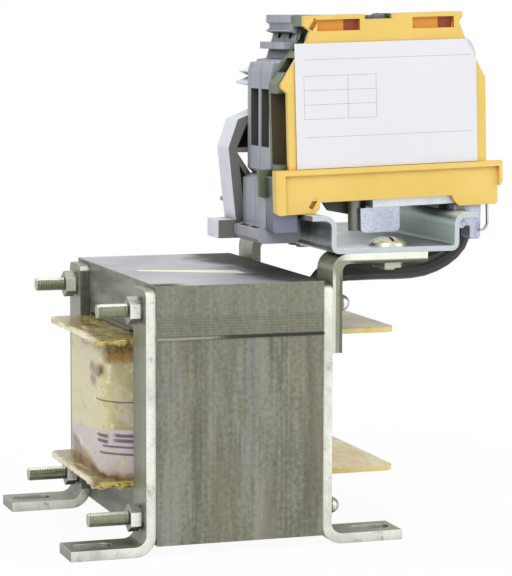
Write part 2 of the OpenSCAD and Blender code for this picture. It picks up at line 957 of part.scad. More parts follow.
module earth_jaw_screw() {
    head_z = arch_h + foot_bar_t;
    color(bright_steel) tilted() at_rail(jaw_screw_x, jaw_screw_y, 0) {
        translate([0, 0, jaw_screw_low]) cylinder(d = jaw_screw_d, h = head_z - jaw_screw_low);
        translate([0, 0, head_z]) cylinder(d = jaw_head_d, h = jaw_head_h);
    }
}

module earth_jaw_plate() {
    half = jaw_plate_w / 2;
    color(bright_steel) tilted() on_rail(plate_y, jaw_plate_t) translate([jaw_plate_x, 0]) {
        translate([-half, jaw_plate_low + chamfer]) square([jaw_plate_w, bar_up - jaw_plate_low - chamfer]);
        translate([chamfer - half, jaw_plate_low]) square([jaw_plate_w - 2 * chamfer, chamfer]);
        for (s = [-1, 1]) translate([s * (half - chamfer), jaw_plate_low + chamfer]) circle(chamfer);
    }
}

// Thin spring strip beside the jaw, curled in at its lower end
module earth_jaw_spring() {
    color(bright_steel) tilted() on_rail(green_y - spring_w, spring_w) {
        translate([spring_x + spring_t, spring_low]) mirror([1, 0]) {
            bent_bar(seat_h - spring_low, spring_r + spring_t, spring_t, spring_r);
        }
    }
}

// Left edge of the end stop, from its forked marker prong down to the peg
stop_left_edge = [
    [-stop_neck, stop_top_h + chamfer],
    [corner - block_left, stop_top_h],
    [-stop_neck, stop_top_h - chamfer],
    [-block_left, stop_top_h - 2 * chamfer],
    [-block_left, stop_top_h - 2.5 * chamfer],
    [-stop_neck, stop_top_h - 3 * chamfer],
    [-stop_neck, stop_brow_h + 2 * chamfer],
    [-stop_brow, stop_brow_h],
    [-stop_knee, stop_knee_h],
    [-stop_half, stop_peg_top],
    [-stop_peg, stop_peg_top],
    [-stop_peg, sole_h]
];

// Deep panel in the end stop's near face, above the hole between its ribs
stop_panel = [
    [stop_wall - stop_knee, stop_hole_top + chamfer],
    [stop_wall - stop_brow, stop_brow_h - chamfer],
    [0, stop_brow_h - chamfer],
    [0, stop_hole_top + chamfer]
];

// Three-cornered hole right through the end stop
stop_hole = [
    [stop_wall - stop_knee, stop_hole_top],
    [-arch_half, stop_hole_top],
    [-brim_half - chamfer, arch_h - corner]
];

// Sunk panel below the hole, which holds the screw
stop_pocket_x = -brim_half - 2.5 * chamfer;
stop_pocket = [
    [stop_wall - stop_half, toe_h + chamfer],
    [stop_wall - stop_knee + corner, stop_hole_top - 2.5 * chamfer],
    [stop_pocket_x, arch_h - corner],
    [stop_pocket_x, toe_h + chamfer]
];

module end_stop() {
    top = [[snap_half, stop_top_h - 3 * chamfer], [block_x + top_half, stop_top_h + chamfer]];
    color(stop_grey) difference() {
        on_rail(stop_y, stop_t) difference() {
            polygon(concat(top, stop_left_edge, brim_hook, block_right_foot));
            polygon(stop_hole);
        }
        on_rail(stop_y - cut, panel_sink + cut) polygon(stop_panel);
        on_rail(stop_y - cut, stop_sink + cut) polygon(stop_pocket);
        at_rail(stop_screw_x, stop_y, stop_screw_h) rotate([-90, 0, 0]) {
            cylinder(d = stop_screw_d, h = stop_t - chamfer);
        }
    }
}

module end_stop_screw() {
    color(bright_steel) at_rail(stop_screw_x, stop_y + stop_sink, stop_screw_h) rotate([-90, 0, 0]) {
        translate([0, 0, -stop_head_h]) cylinder(d = stop_head_d, h = stop_head_h);
        cylinder(d = stop_screw_d, h = stop_t - chamfer - stop_sink);
    }
}

module rating_label() {
    color(label_white) tilted() on_rail(earth_y - label_t, label_t) {
        translate([label_x - label_w / 2, label_low]) square([label_w, label_h]);
    }
}

// Points of a lead's route, from the winding to its ferrule, level under the rail
function lead_route(y0, y1, level) = [
    [lead_out_x, y0, flange_high],
    [lead_out_x, y0, flange_high + lead_bend],
    [lead_out_x + corner, y0, level - lead_bend],
    [lead_out_x + lead_bend, y0, level - corner],
    [rail_x, y0, level],
    [rail_x + rail_channel / 2 - chamfer, (y0 + y1) / 2, level + corner],
    [rail_x + snap_half + corner, y1, rail_z - corner],
    [rail_x + lead_side - corner, y1, rail_top + corner],
    [rail_x + lead_side, y1, rail_top + skirt_h],
    [rail_x + lead_side, y1, rail_top + entry_low + chamfer],
    [rail_x + lead_right, y1, rail_top + lead_h + 2 * chamfer],
    [rail_x + lead_end + 2 * chamfer, y1, rail_top + lead_h + corner],
    [rail_x + lead_end, y1, rail_top + lead_h]
];

// Smooth curve through route points: position on a stretch, then all the ring centres
function blend(a, b, c, d, t) =
    0.5 * (2 * b + (c - a) * t + (2 * a - 5 * b + 4 * c - d) * t * t + (3 * b - a - 3 * c + d) * t * t * t);
function clamp_point(p, i) =
    i < 0 ? 2 * p[0] - p[1] : i >= len(p) ? p[len(p) - 1] - [lead_d, 0, 0] : p[i];
function smooth(p) = concat(
    [for (i = [0 : len(p) - 2], k = [0 : lead_steps - 1])
        blend(clamp_point(p, i - 1), p[i], p[i + 1], clamp_point(p, i + 2), k / lead_steps)],
    [p[len(p) - 1]]
);

// Direction of travel at a ring, and the ring's points round it
function heading(c, i) =
    i == 0 ? [0, 0, 1] : i == len(c) - 1 ? [-1, 0, 0] : (c[i + 1] - c[i - 1]) / norm(c[i + 1] - c[i - 1]);
function ring_points(c, h, r) =
    let (u = cross([0, 1, 0], h) / norm(cross([0, 1, 0], h)), v = cross(h, u), turn = 360 / lead_sides)
    [for (k = [0 : lead_sides - 1]) c + r * (cos(k * turn) * u + sin(k * turn) * v)];

// Round lead swept along a route
module swept_lead(route) {
    centres = smooth(route);
    last = len(centres) - 1;
    points = [for (i = [0 : last]) each ring_points(centres[i], heading(centres, i), lead_d / 2)];
    sides = [for (i = [0 : last - 1], k = [0 : lead_sides - 1])
        let (a = i * lead_sides, n = (k + 1) % lead_sides)
        each [[a + k, a + n, a + lead_sides + k], [a + n, a + lead_sides + n, a + lead_sides + k]]];
    start_cap = [[for (k = [lead_sides - 1 : -1 : 0]) k]];
    end_cap = [[for (k = [0 : lead_sides - 1]) last * lead_sides + k]];
    polyhedron(points, concat(start_cap, sides, end_cap));
}

module lead_start() {
    color(lead_black) swept_lead(lead_route(lead_1_y, block_middles[0], lead_1_z));
}

module lead_finish() {
    color(lead_black) swept_lead(lead_route(lead_2_y, block_middles[1], lead_2_z));
}

module lead_ferrules() {
    color(bright_steel) for (y = block_middles) at_rail(ferrule_in, y, lead_h) rotate([0, 90, 0]) {
        cylinder(d = ferrule_d, h = lead_end - ferrule_in);
    }
}

e_core();
i_yoke();
gap_spacer();
bobbin();
winding();
outer_tape();
foot(-1, -1);  // foot_front_left
foot(-1, 1);  // foot_rear_left
foot(1, -1);  // foot_front_right
foot(1, 1);  // foot_rear_right
core_bolts();
core_nuts();
core_washers();
core_lock_washers();
rail_bracket(-1);  // rail_bracket_front
rail_bracket(1);  // rail_bracket_rear
mounting_rail();
rail_screws();
rail_nuts();
terminal_housing(block_1_y);  // terminal_1_housing
terminal_housing(block_2_y);  // terminal_2_housing
terminal_end_cover();
terminal_bars();
terminal_cages();
terminal_screws();
earth_housing_green();
earth_housing_yellow();
earth_bar();
earth_cages();
earth_screws();
earth_foot();
earth_rail_jaw();
earth_jaw_screw();
earth_jaw_plate();
earth_jaw_spring();
end_stop();
end_stop_screw();
rating_label();
lead_start();
lead_finish();
lead_ferrules();
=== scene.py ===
import math
import bpy
import numpy as np
from mathutils import Matrix, Vector


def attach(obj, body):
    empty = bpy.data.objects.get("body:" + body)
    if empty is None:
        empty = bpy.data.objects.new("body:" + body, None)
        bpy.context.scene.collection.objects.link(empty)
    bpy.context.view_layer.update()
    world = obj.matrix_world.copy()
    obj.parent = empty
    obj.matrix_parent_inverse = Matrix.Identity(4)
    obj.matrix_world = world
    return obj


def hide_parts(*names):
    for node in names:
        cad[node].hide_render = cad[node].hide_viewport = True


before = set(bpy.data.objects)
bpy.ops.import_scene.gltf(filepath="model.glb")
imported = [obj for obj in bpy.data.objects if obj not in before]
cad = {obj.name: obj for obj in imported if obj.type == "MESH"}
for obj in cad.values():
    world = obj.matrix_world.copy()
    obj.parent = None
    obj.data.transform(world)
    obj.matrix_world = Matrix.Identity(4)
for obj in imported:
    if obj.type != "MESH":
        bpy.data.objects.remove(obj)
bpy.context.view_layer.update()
mm = 0.001
print("frame loaded with", len(cad), "nodes")


# shader helpers

def tint(r, g, b):
    # screen colour 0..255 to the linear value that a shader takes
    c = np.array([r, g, b]) / 255.0
    lin = np.where(c <= 0.04045, c / 12.92, ((c + 0.055) / 1.055) ** 2.4)
    return (*[float(v) for v in lin], 1.0)


def feed(tree, source, socket):
    # a socket is linked, anything else is set as a plain value
    if isinstance(source, bpy.types.NodeSocket):
        tree.links.new(source, socket)
    else:
        socket.default_value = source


def addNode(tree, kind, inputs=None, **settings):
    made = tree.nodes.new(kind)
    for key, value in settings.items():
        setattr(made, key, value)
    for key, value in (inputs or {}).items():
        feed(tree, value, made.inputs[key])
    return made


def calc(tree, operation, a, b=0.0, c=0.0, clamp=False):
    made = addNode(tree, "ShaderNodeMath", {0: a, 1: b, 2: c}, operation=operation, use_clamp=clamp)
    return made.outputs[0]


def times(tree, a, b):
    return calc(tree, "MULTIPLY", a, b)


def plus(tree, a, b):
    return calc(tree, "ADD", a, b)


def minus(tree, a, b):
    return calc(tree, "SUBTRACT", a, b)


def most(tree, a, b):
    return calc(tree, "MAXIMUM", a, b)


def stepUp(tree, value, low, high):
    # 0 below low, 1 above high, smooth between
    made = addNode(tree, "ShaderNodeMapRange", {0: value, 1: low, 2: high}, interpolation_type="SMOOTHSTEP")
    return made.outputs[0]


def between(tree, value, low, high, soft):
    # 1 inside the two limits, 0 outside
    rise = stepUp(tree, value, low - soft, low + soft)
    fall = stepUp(tree, value, high - soft, high + soft)
    return times(tree, rise, minus(tree, 1.0, fall))


def metres(lengths):
    return [length * mm for length in lengths]


def insideBox(tree, place, paintedLightBox):
    # 1 inside a box given in mm with soft sides, 0 outside; the box may lean about a height
    x, y, z = parts(tree, place)
    softX, softY, softZ = metres(paintedLightBox["soft"])
    lean = times(tree, minus(tree, z, paintedLightBox["about"] * mm), paintedLightBox["lean"])
    mask = between(tree, plus(tree, x, lean), *metres(paintedLightBox["x"]), softX)
    mask = times(tree, mask, between(tree, y, *metres(paintedLightBox["y"]), softY))
    return times(tree, mask, between(tree, z, *metres(paintedLightBox["z"]), softZ))


earthLean = {"lean": 0.0297, "about": 87.1, "soft": (0.03, 0.1, 0.15)}
upright = {"lean": 0.0, "about": 0.0, "soft": (0.03, 0.1, 0.15)}


def mixTint(tree, amount, a, b):
    return addNode(tree, "ShaderNodeMix", {0: amount, 6: a, 7: b}, data_type="RGBA").outputs[2]


def lay(tree, under, mask, share, shade):
    # a shade laid over a colour where the mask is 1, as far as its share
    return mixTint(tree, times(tree, mask, share), under, tint(*shade))


def stretched(tree, vector, scale, turn=(0.0, 0.0, 0.0), shift=(0.0, 0.0, 0.0)):
    return addNode(tree, "ShaderNodeMapping", {0: vector, 1: shift, 2: turn, 3: scale}).outputs[0]


def noiseAt(tree, vector, scale, detail=3.0, rough=0.55):
    made = addNode(tree, "ShaderNodeTexNoise", {"Vector": vector, "Scale": scale, "Detail": detail, "Roughness": rough})
    return made.outputs["Fac"]


def parts(tree, vector):
    return addNode(tree, "ShaderNodeSeparateXYZ", {0: vector}).outputs


def newGroup(name, inputs, outputs, build):
    tree = bpy.data.node_groups.new(name, "ShaderNodeTree")
    for label, kind, value in inputs:
        socket = tree.interface.new_socket(label, in_out="INPUT", socket_type=kind)
        if value is not None:
            socket.default_value = value
    for label, kind in outputs:
        tree.interface.new_socket(label, in_out="OUTPUT", socket_type=kind)
    entry = tree.nodes.new("NodeGroupInput")
    leave = tree.nodes.new("NodeGroupOutput")
    for label, socket in build(tree, entry.outputs).items():
        tree.links.new(socket, leave.inputs[label])
    return tree


floatKind = "NodeSocketFloat"
vectorKind = "NodeSocketVector"


def buildSoftEdges(tree, entry):
    # rounded normal from Cycles' bevel, and a mask that is 1 where it leaves the flat normal
    bevel = addNode(tree, "ShaderNodeBevel", {"Radius": entry["Radius"]}, samples=6)
    flat = tree.nodes.new("ShaderNodeNewGeometry").outputs["True Normal"]
    dot = addNode(tree, "ShaderNodeVectorMath", {0: bevel.outputs[0], 1: flat}, operation="DOT_PRODUCT")
    edge = stepUp(tree, minus(tree, 1.0, dot.outputs["Value"]), 0.004, 0.16)
    return {"Normal": bevel.outputs[0], "Edge": edge}


def buildMouldGrain(tree, entry):
    # clouds of shade, a fine spark-eroded grain and sparse rubbed patches
    shade = noiseAt(tree, entry["Vector"], 70.0, 4.0, 0.6)
    grain = noiseAt(tree, entry["Vector"], entry["Grain"], 2.0, 0.6)
    rub = stepUp(tree, noiseAt(tree, entry["Vector"], 240.0, 5.0, 0.7), 0.58, 0.74)
    return {"Shade": shade, "Grain": grain, "Rub": rub}


def buildZincCoat(tree, entry):
    # drawn streaks along one axis, soft clouds and dull spots
    streak = noiseAt(tree, stretched(tree, entry["Vector"], (260.0, 1500.0, 60.0)), 1.0, 3.0, 0.6)
    spots = stepUp(tree, noiseAt(tree, entry["Vector"], 330.0, 4.0, 0.6), 0.56, 0.7)
    cloud = noiseAt(tree, entry["Vector"], 120.0, 5.0, 0.65)
    shade = plus(tree, times(tree, streak, 0.45), times(tree, cloud, 0.55))
    return {"Shade": shade, "Spots": spots, "Height": plus(tree, streak, times(tree, cloud, 0.5))}


def buildDustFall(tree, entry):
    # dust where a face looks up, broken up by noise
    up = parts(tree, tree.nodes.new("ShaderNodeNewGeometry").outputs["Normal"])[2]
    cloud = noiseAt(tree, entry["Vector"], 180.0, 5.0, 0.65)
    lying = stepUp(tree, up, 0.3, 0.95)
    return {"Dust": times(tree, lying, stepUp(tree, cloud, 0.35, 0.75))}


def buildVarnish(tree, entry):
    # brown and amber pools of dipping varnish, with a glossy coat where it is thick
    warp = noiseAt(tree, entry["Vector"], 120.0, 5.0, 0.65)
    pool = stepUp(tree, plus(tree, warp, entry["Amount"]), 0.62, 0.9)
    drops = stepUp(tree, noiseAt(tree, entry["Vector"], 420.0, 3.0, 0.6), 0.64, 0.74)
    thick = most(tree, pool, times(tree, drops, 0.6))
    return {"Pool": pool, "Thick": thick}


def buildHollows(tree, entry):
    # 1 deep in a recess, 0 on an open face, from Cycles' ambient occlusion; the finishes lay painted shade through it
    clear = addNode(tree, "ShaderNodeAmbientOcclusion", {"Distance": entry["Reach"]}, samples=8).outputs["AO"]
    return {"Hollow": minus(tree, 1.0, stepUp(tree, clear, 0.22, 0.72))}


def buildFacing(tree, entry):
    # how far a face looks along the rail, forward, to the left and up, 0 to 1 each
    x, y, z = parts(tree, tree.nodes.new("ShaderNodeNewGeometry").outputs["True Normal"])
    ahead = stepUp(tree, calc(tree, "ABSOLUTE", y), 0.6, 0.9)
    return {"Ahead": ahead, "Front": stepUp(tree, times(tree, y, -1.0), 0.6, 0.9),
            "Left": stepUp(tree, times(tree, x, -1.0), 0.6, 0.9), "Up": stepUp(tree, z, 0.6, 0.9)}


softEdges = newGroup("softEdges", [("Radius", floatKind, 0.0002)],
                     [("Normal", vectorKind), ("Edge", floatKind)], buildSoftEdges)
mouldGrain = newGroup("mouldGrain", [("Vector", vectorKind, None), ("Grain", floatKind, 2600.0)],
                      [("Shade", floatKind), ("Grain", floatKind), ("Rub", floatKind)], buildMouldGrain)
zincCoat = newGroup("zincCoat", [("Vector", vectorKind, None)],
                    [("Shade", floatKind), ("Spots", floatKind), ("Height", floatKind)], buildZincCoat)
dustFall = newGroup("dustFall", [("Vector", vectorKind, None)], [("Dust", floatKind)], buildDustFall)
occlusionShade = newGroup("occlusionShade", [("Reach", floatKind, 0.004)], [("Hollow", floatKind)], buildHollows)
facing = newGroup("facing", [], [("Ahead", floatKind), ("Front", floatKind), ("Left", floatKind), ("Up", floatKind)],
                  buildFacing)
varnish = newGroup("varnish", [("Vector", vectorKind, None), ("Amount", floatKind, 0.1)],
                   [("Pool", floatKind), ("Thick", floatKind)], buildVarnish)


def useGroup(tree, group, **inputs):
    made = addNode(tree, "ShaderNodeGroup", node_tree=group)
    for key, value in inputs.items():
        feed(tree, value, made.inputs[key])
    return made.outputs


def startMaterial(name):
    made = bpy.data.materials.new(name)
    made.use_nodes = True
    tree = made.node_tree
    tree.nodes.clear()
    out = tree.nodes.new("ShaderNodeOutputMaterial")
    surface = tree.nodes.new("ShaderNodeBsdfPrincipled")
    tree.links.new(surface.outputs[0], out.inputs[0])
    place = tree.nodes.new("ShaderNodeTexCoord").outputs["Object"]
    return made, tree, surface.inputs, place


def addBump(tree, inputs, height, strength, distance, normal=None):
    made = addNode(tree, "ShaderNodeBump", {"Strength": strength, "Distance": distance, "Height": height})
    if normal is not None:
        tree.links.new(normal, made.inputs["Normal"])
    tree.links.new(made.outputs[0], inputs["Normal"])


def dress(names, material):
    for name in names:
        slots = cad[name].data.materials
        slots.clear()
        slots.append(material)


print("shader groups ready")


# camera and stage

shot = {"azimuth": -18.605, "elevation": 6.318, "roll": 0.139, "eye": (-0.14414, -0.46694, 0.10261), "lens": 150.09}


def makeCamera():
    # looks along azimuth and elevation from the eye, then rolls about that line
    a, e, roll = (math.radians(shot[k]) for k in ("azimuth", "elevation", "roll"))
    back = Vector((math.sin(a) * math.cos(e), -math.cos(a) * math.cos(e), math.sin(e)))
    right = Vector((0.0, 0.0, 1.0)).cross(back).normalized()
    up = back.cross(right)
    across = math.cos(roll) * right + math.sin(roll) * up
    tall = math.cos(roll) * up - math.sin(roll) * right
    data = bpy.data.cameras.new("shotCamera")
    data.lens, data.sensor_width, data.sensor_fit = shot["lens"], 36.0, "AUTO"
    data.clip_start, data.clip_end = 0.01, 10.0
    made = bpy.data.objects.new("shotCamera", data)
    made.matrix_world = Matrix.Translation(shot["eye"]) @ Matrix((across, tall, back)).transposed().to_4x4()
    bpy.context.scene.collection.objects.link(made)
    bpy.context.scene.camera = made


stage = {"half": 3.0, "floor": (236, 237, 240), "glow": 0.95, "near": 0.05, "far": 0.2, "worldLight": 0.62}


def paleRays(tree):
    # 1 for rays that see the backdrop: straight from the camera, off a glossy face or through glass
    path = tree.nodes.new("ShaderNodeLightPath").outputs
    bent = most(tree, path["Is Glossy Ray"], path["Is Transmission Ray"])
    return most(tree, path["Is Camera Ray"], bent)


def makeStage():
    # the floor keeps a faint shadow near the part and turns to plain white away from it
    h = stage["half"]
    mesh = bpy.data.meshes.new("floor")
    mesh.from_pydata([(-h, -h, 0.0), (h, -h, 0.0), (h, h, 0.0), (-h, h, 0.0)], [], [(0, 1, 2, 3)])
    floor = bpy.data.objects.new("floor", mesh)
    bpy.context.scene.collection.objects.link(floor)
    paint = bpy.data.materials.new("paleFloor")
    paint.use_nodes = True
    tree = paint.node_tree
    tree.nodes.clear()
    out = tree.nodes.new("ShaderNodeOutputMaterial")
    matte = addNode(tree, "ShaderNodeBsdfDiffuse", {"Color": tint(*stage["floor"])})
    glow = addNode(tree, "ShaderNodeEmission", {"Color": (1.0, 1.0, 1.0, 1.0), "Strength": 1.0})
    spot = tree.nodes.new("ShaderNodeNewGeometry").outputs["Position"]
    away = addNode(tree, "ShaderNodeVectorMath", {0: spot}, operation="LENGTH").outputs["Value"]
    rest = times(tree, stepUp(tree, away, stage["near"], stage["far"]), 1.0 - stage["glow"])
    share = times(tree, paleRays(tree), plus(tree, rest, stage["glow"]))
    mixed = addNode(tree, "ShaderNodeMixShader", {0: share, 1: matte.outputs[0], 2: glow.outputs[0]})
    tree.links.new(mixed.outputs[0], out.inputs[0])
    mesh.materials.append(paint)

    world = bpy.data.worlds.new("studio")
    bpy.context.scene.world = world
    world.use_nodes = True
    tree = world.node_tree
    tree.nodes.clear()
    out = tree.nodes.new("ShaderNodeOutputWorld")
    seen = paleRays(tree)
    strength = plus(tree, stage["worldLight"], times(tree, seen, 1.0 - stage["worldLight"]))
    sky = addNode(tree, "ShaderNodeBackground", {"Color": (1.0, 1.0, 1.0, 1.0), "Strength": strength})
    tree.links.new(sky.outputs[0], out.inputs[0])


lamps = {
    "keyPanel": {"at": (-0.55, -0.85, 0.75), "size": 0.7, "watts": 5.3},
    "fillPanel": {"at": (0.75, -0.55, 0.35), "size": 0.6, "watts": 2.2},
    "topPanel": {"at": (0.05, 0.1, 1.0), "size": 0.6, "watts": 3.0},
}
lampAim = (0.01, 0.0, 0.05)


def makeLamps():
    for name, lamp in lamps.items():
        data = bpy.data.lights.new(name, "AREA")
        data.size, data.energy = lamp["size"], lamp["watts"]
        made = bpy.data.objects.new(name, data)
        aim = Vector(lampAim) - Vector(lamp["at"])
        made.location = lamp["at"]
        made.rotation_euler = aim.to_track_quat("-Z", "Y").to_euler()
        bpy.context.scene.collection.objects.link(made)


makeCamera()
makeStage()
makeLamps()
bpy.context.scene.view_settings.view_transform = "Standard"
print("camera, stage and lamps set")


# laminated core

coreLooks = {
    "coreSheets": {"node": "e_core", "dark": (100, 101, 85), "pale": (143, 144, 126), "drawn": 1.0, "lines": 0.0},
    "yokeSheets": {"node": "i_yoke", "dark": (104, 108, 91), "pale": (139, 143, 124), "drawn": 0.45, "lines": 0.55},
}
coreSteel = {
    "sheet": 0.5 * mm, "bevel": 0.25 * mm, "reach": 3 * mm, "rough": 0.34, "matt": 0.4, "metal": 0.3,
    "top": (178, 177, 183), "topLow": (160, 159, 165), "left": (142, 143, 134), "leftLow": (96, 96, 84),
    "edge": (196, 197, 186), "fleck": (70, 64, 46),
    "tones": [
        {"scale": (150.0, 150.0, 20.0), "shift": 0.0, "from": (0.46, 0.64), "share": 0.45, "tint": (136, 136, 140)},
        {"scale": (130.0, 130.0, 18.0), "shift": 3.0, "from": (0.5, 0.66), "share": 0.45, "tint": (130, 115, 96)},
    ],
    "rungs": {"pitch": 0.55, "z": (42.6, 46.6), "soft": 0.9, "tint": (40, 42, 34)},
    "stain": {"z": (34.0, 4.0), "from": (0.64, 0.76), "share": 0.5, "tint": (104, 90, 58)},
    "dullAndShaded": {"x": (2.5, 10.5), "stray": 14.0, "tint": (48, 47, 42)},
    "reflectedWedge": {"x": (-12.4, 7.0), "y": -0.4, "drift": -0.42, "spread": 0.11, "thin": 1.0, "soft": 0.3,
              "tint": (250, 244, 220)},
    "footShadow": {"x": (-19.0, -11.8), "y": (-33.0, -25.8), "soft": (2.0, 2.4), "tint": (24, 21, 10)},
}


def makeCoreSteel(name, look):
    # sheets stacked along X: a shade for each, streaks along Z over all of them, a groove between two sheets
    made, tree, inputs, place = startMaterial(name)
    rungs, stain, dullAndShaded, reflectedWedge, footShadow = (coreSteel[key] for key in ("rungs", "stain", "dullAndShaded", "reflectedWedge", "footShadow"))
    x, y, z = parts(tree, place)
    count = calc(tree, "DIVIDE", x, coreSteel["sheet"])
    whole = calc(tree, "FLOOR", count)
    own = addNode(tree, "ShaderNodeTexWhiteNoise", {"W": whole}, noise_dimensions="1D").outputs[0]
    groove = calc(tree, "PINGPONG", count, 0.5)
    flow = noiseAt(tree, stretched(tree, place, (700.0, 700.0, 70.0)), 1.0, 4.0, 0.6)
    broad = noiseAt(tree, stretched(tree, place, (260.0, 260.0, 26.0)), 1.0, 3.0, 0.6)
    cloud = noiseAt(tree, place, 60.0, 4.0, 0.6)
    speck = noiseAt(tree, place, 1100.0, 3.0, 0.65)
    streaks = plus(tree, times(tree, own, 0.1), times(tree, flow, 0.5))
    streaks = plus(tree, streaks, times(tree, broad, 0.8))
    shade = plus(tree, times(tree, minus(tree, streaks, 0.7), look["drawn"]), times(tree, speck, 0.7))
    colour = mixTint(tree, stepUp(tree, shade, 0.1, 0.6), tint(*look["dark"]), tint(*look["pale"]))
    for tone in coreSteel["tones"]:  # cool and warm streaks
        moved = stretched(tree, place, tone["scale"], shift=(tone["shift"], 0.0, 0.0))
        spread = stepUp(tree, noiseAt(tree, moved, 1.0, 4.0, 0.6), *tone["from"])
        colour = lay(tree, colour, spread, tone["share"] * look["drawn"], tone["tint"])
    rung = calc(tree, "PINGPONG", calc(tree, "DIVIDE", z, rungs["pitch"] * mm), 0.5)
    low = between(tree, z, *metres(rungs["z"]), rungs["soft"] * mm)
    colour = lay(tree, colour, times(tree, rung, low), look["lines"], rungs["tint"])
    spot = stepUp(tree, noiseAt(tree, place, 210.0, 5.0, 0.7), *stain["from"])
    spot = times(tree, spot, stepUp(tree, z, *metres(stain["z"])))
    colour = lay(tree, colour, spot, stain["share"], stain["tint"])
    fleck = stepUp(tree, noiseAt(tree, place, 800.0, 2.0, 0.5), 0.7, 0.76)
    colour = lay(tree, colour, fleck, 0.6, coreSteel["fleck"])
    face = useGroup(tree, facing)
    # faces that look left get painted light and shade: lighter and darker bands standing in for shadows and reflections
    drawn = noiseAt(tree, stretched(tree, place, (1.0, 34.0, 240.0)), 1.0, 4.0, 0.6)
    side = mixTint(tree, stepUp(tree, drawn, 0.38, 0.62), tint(*coreSteel["leftLow"]), tint(*coreSteel["left"]))
    colour = mixTint(tree, times(tree, face["Left"], 0.85), colour, side)
    # the top, painted lighter as lit from above: dull and painted in shade beside the rail, a pale wedge of painted
    # reflection in the middle, a dark arc of the foot's painted shadow at the front left corner
    # the top is painted lighter and cooler than the sides, as light from above
    top = mixTint(tree, stepUp(tree, cloud, 0.35, 0.7), tint(*coreSteel["top"]), tint(*coreSteel["topLow"]))
    # painted shade beside the rail, where the surface is also duller
    smear = times(tree, minus(tree, noiseAt(tree, place, 85.0, 4.0, 0.6), 0.5), dullAndShaded["stray"] * mm)
    wearAndPaintedLight = stepUp(tree, plus(tree, x, smear), *metres(dullAndShaded["x"]))
    top = lay(tree, top, wearAndPaintedLight, 0.9, dullAndShaded["tint"])
    # a painted reflection: a pale wedge across the top
    run = minus(tree, x, reflectedWedge["x"][0] * mm)
    middle = plus(tree, times(tree, run, reflectedWedge["drift"]), reflectedWedge["y"] * mm)
    off = calc(tree, "ABSOLUTE", minus(tree, y, middle))
    wide = plus(tree, times(tree, run, reflectedWedge["spread"]), reflectedWedge["thin"] * mm)
    strip = between(tree, x, *metres(reflectedWedge["x"]), reflectedWedge["soft"] * mm)
    top = lay(tree, top, times(tree, strip, calc(tree, "LESS_THAN", off, wide)), 0.95, reflectedWedge["tint"])
    # a painted shadow of the foot: a dark arc near the front left corner
    softX, softY = metres(footShadow["soft"])
    footShadowMask = times(tree, between(tree, x, *metres(footShadow["x"]), softX), between(tree, y, *metres(footShadow["y"]), softY))
    footShadowMask = times(tree, footShadowMask, stepUp(tree, noiseAt(tree, place, 330.0, 4.0, 0.7), 0.12, 0.3))
    top = lay(tree, top, footShadowMask, 0.9, footShadow["tint"])
    colour = mixTint(tree, face["Up"], colour, top)
    hollowShade = useGroup(tree, occlusionShade, Reach=coreSteel["reach"])["Hollow"]
    # painted shade in hollows and where parts meet, in the flecks' dark colour
    colour = lay(tree, colour, hollowShade, 0.6, coreSteel["fleck"])
    edges = useGroup(tree, softEdges, Radius=coreSteel["bevel"])
    # a painted highlight along the edges
    colour = lay(tree, colour, edges["Edge"], 0.3, coreSteel["edge"])
    feed(tree, colour, inputs["Base Color"])
    inputs["Metallic"].default_value = coreSteel["metal"]
    matt = times(tree, times(tree, face["Up"], most(tree, wearAndPaintedLight, footShadowMask)), coreSteel["matt"])
    rough = plus(tree, coreSteel["rough"], times(tree, cloud, 0.2))
    feed(tree, plus(tree, rough, matt), inputs["Roughness"])
    height = plus(tree, times(tree, groove, 0.6), plus(tree, flow, speck))
    addBump(tree, inputs, height, 0.3, 0.1 * mm, edges["Normal"])
    return made


for name, look in coreLooks.items():
    dress([look["node"]], makeCoreSteel(name, look))


# zinc plated steel

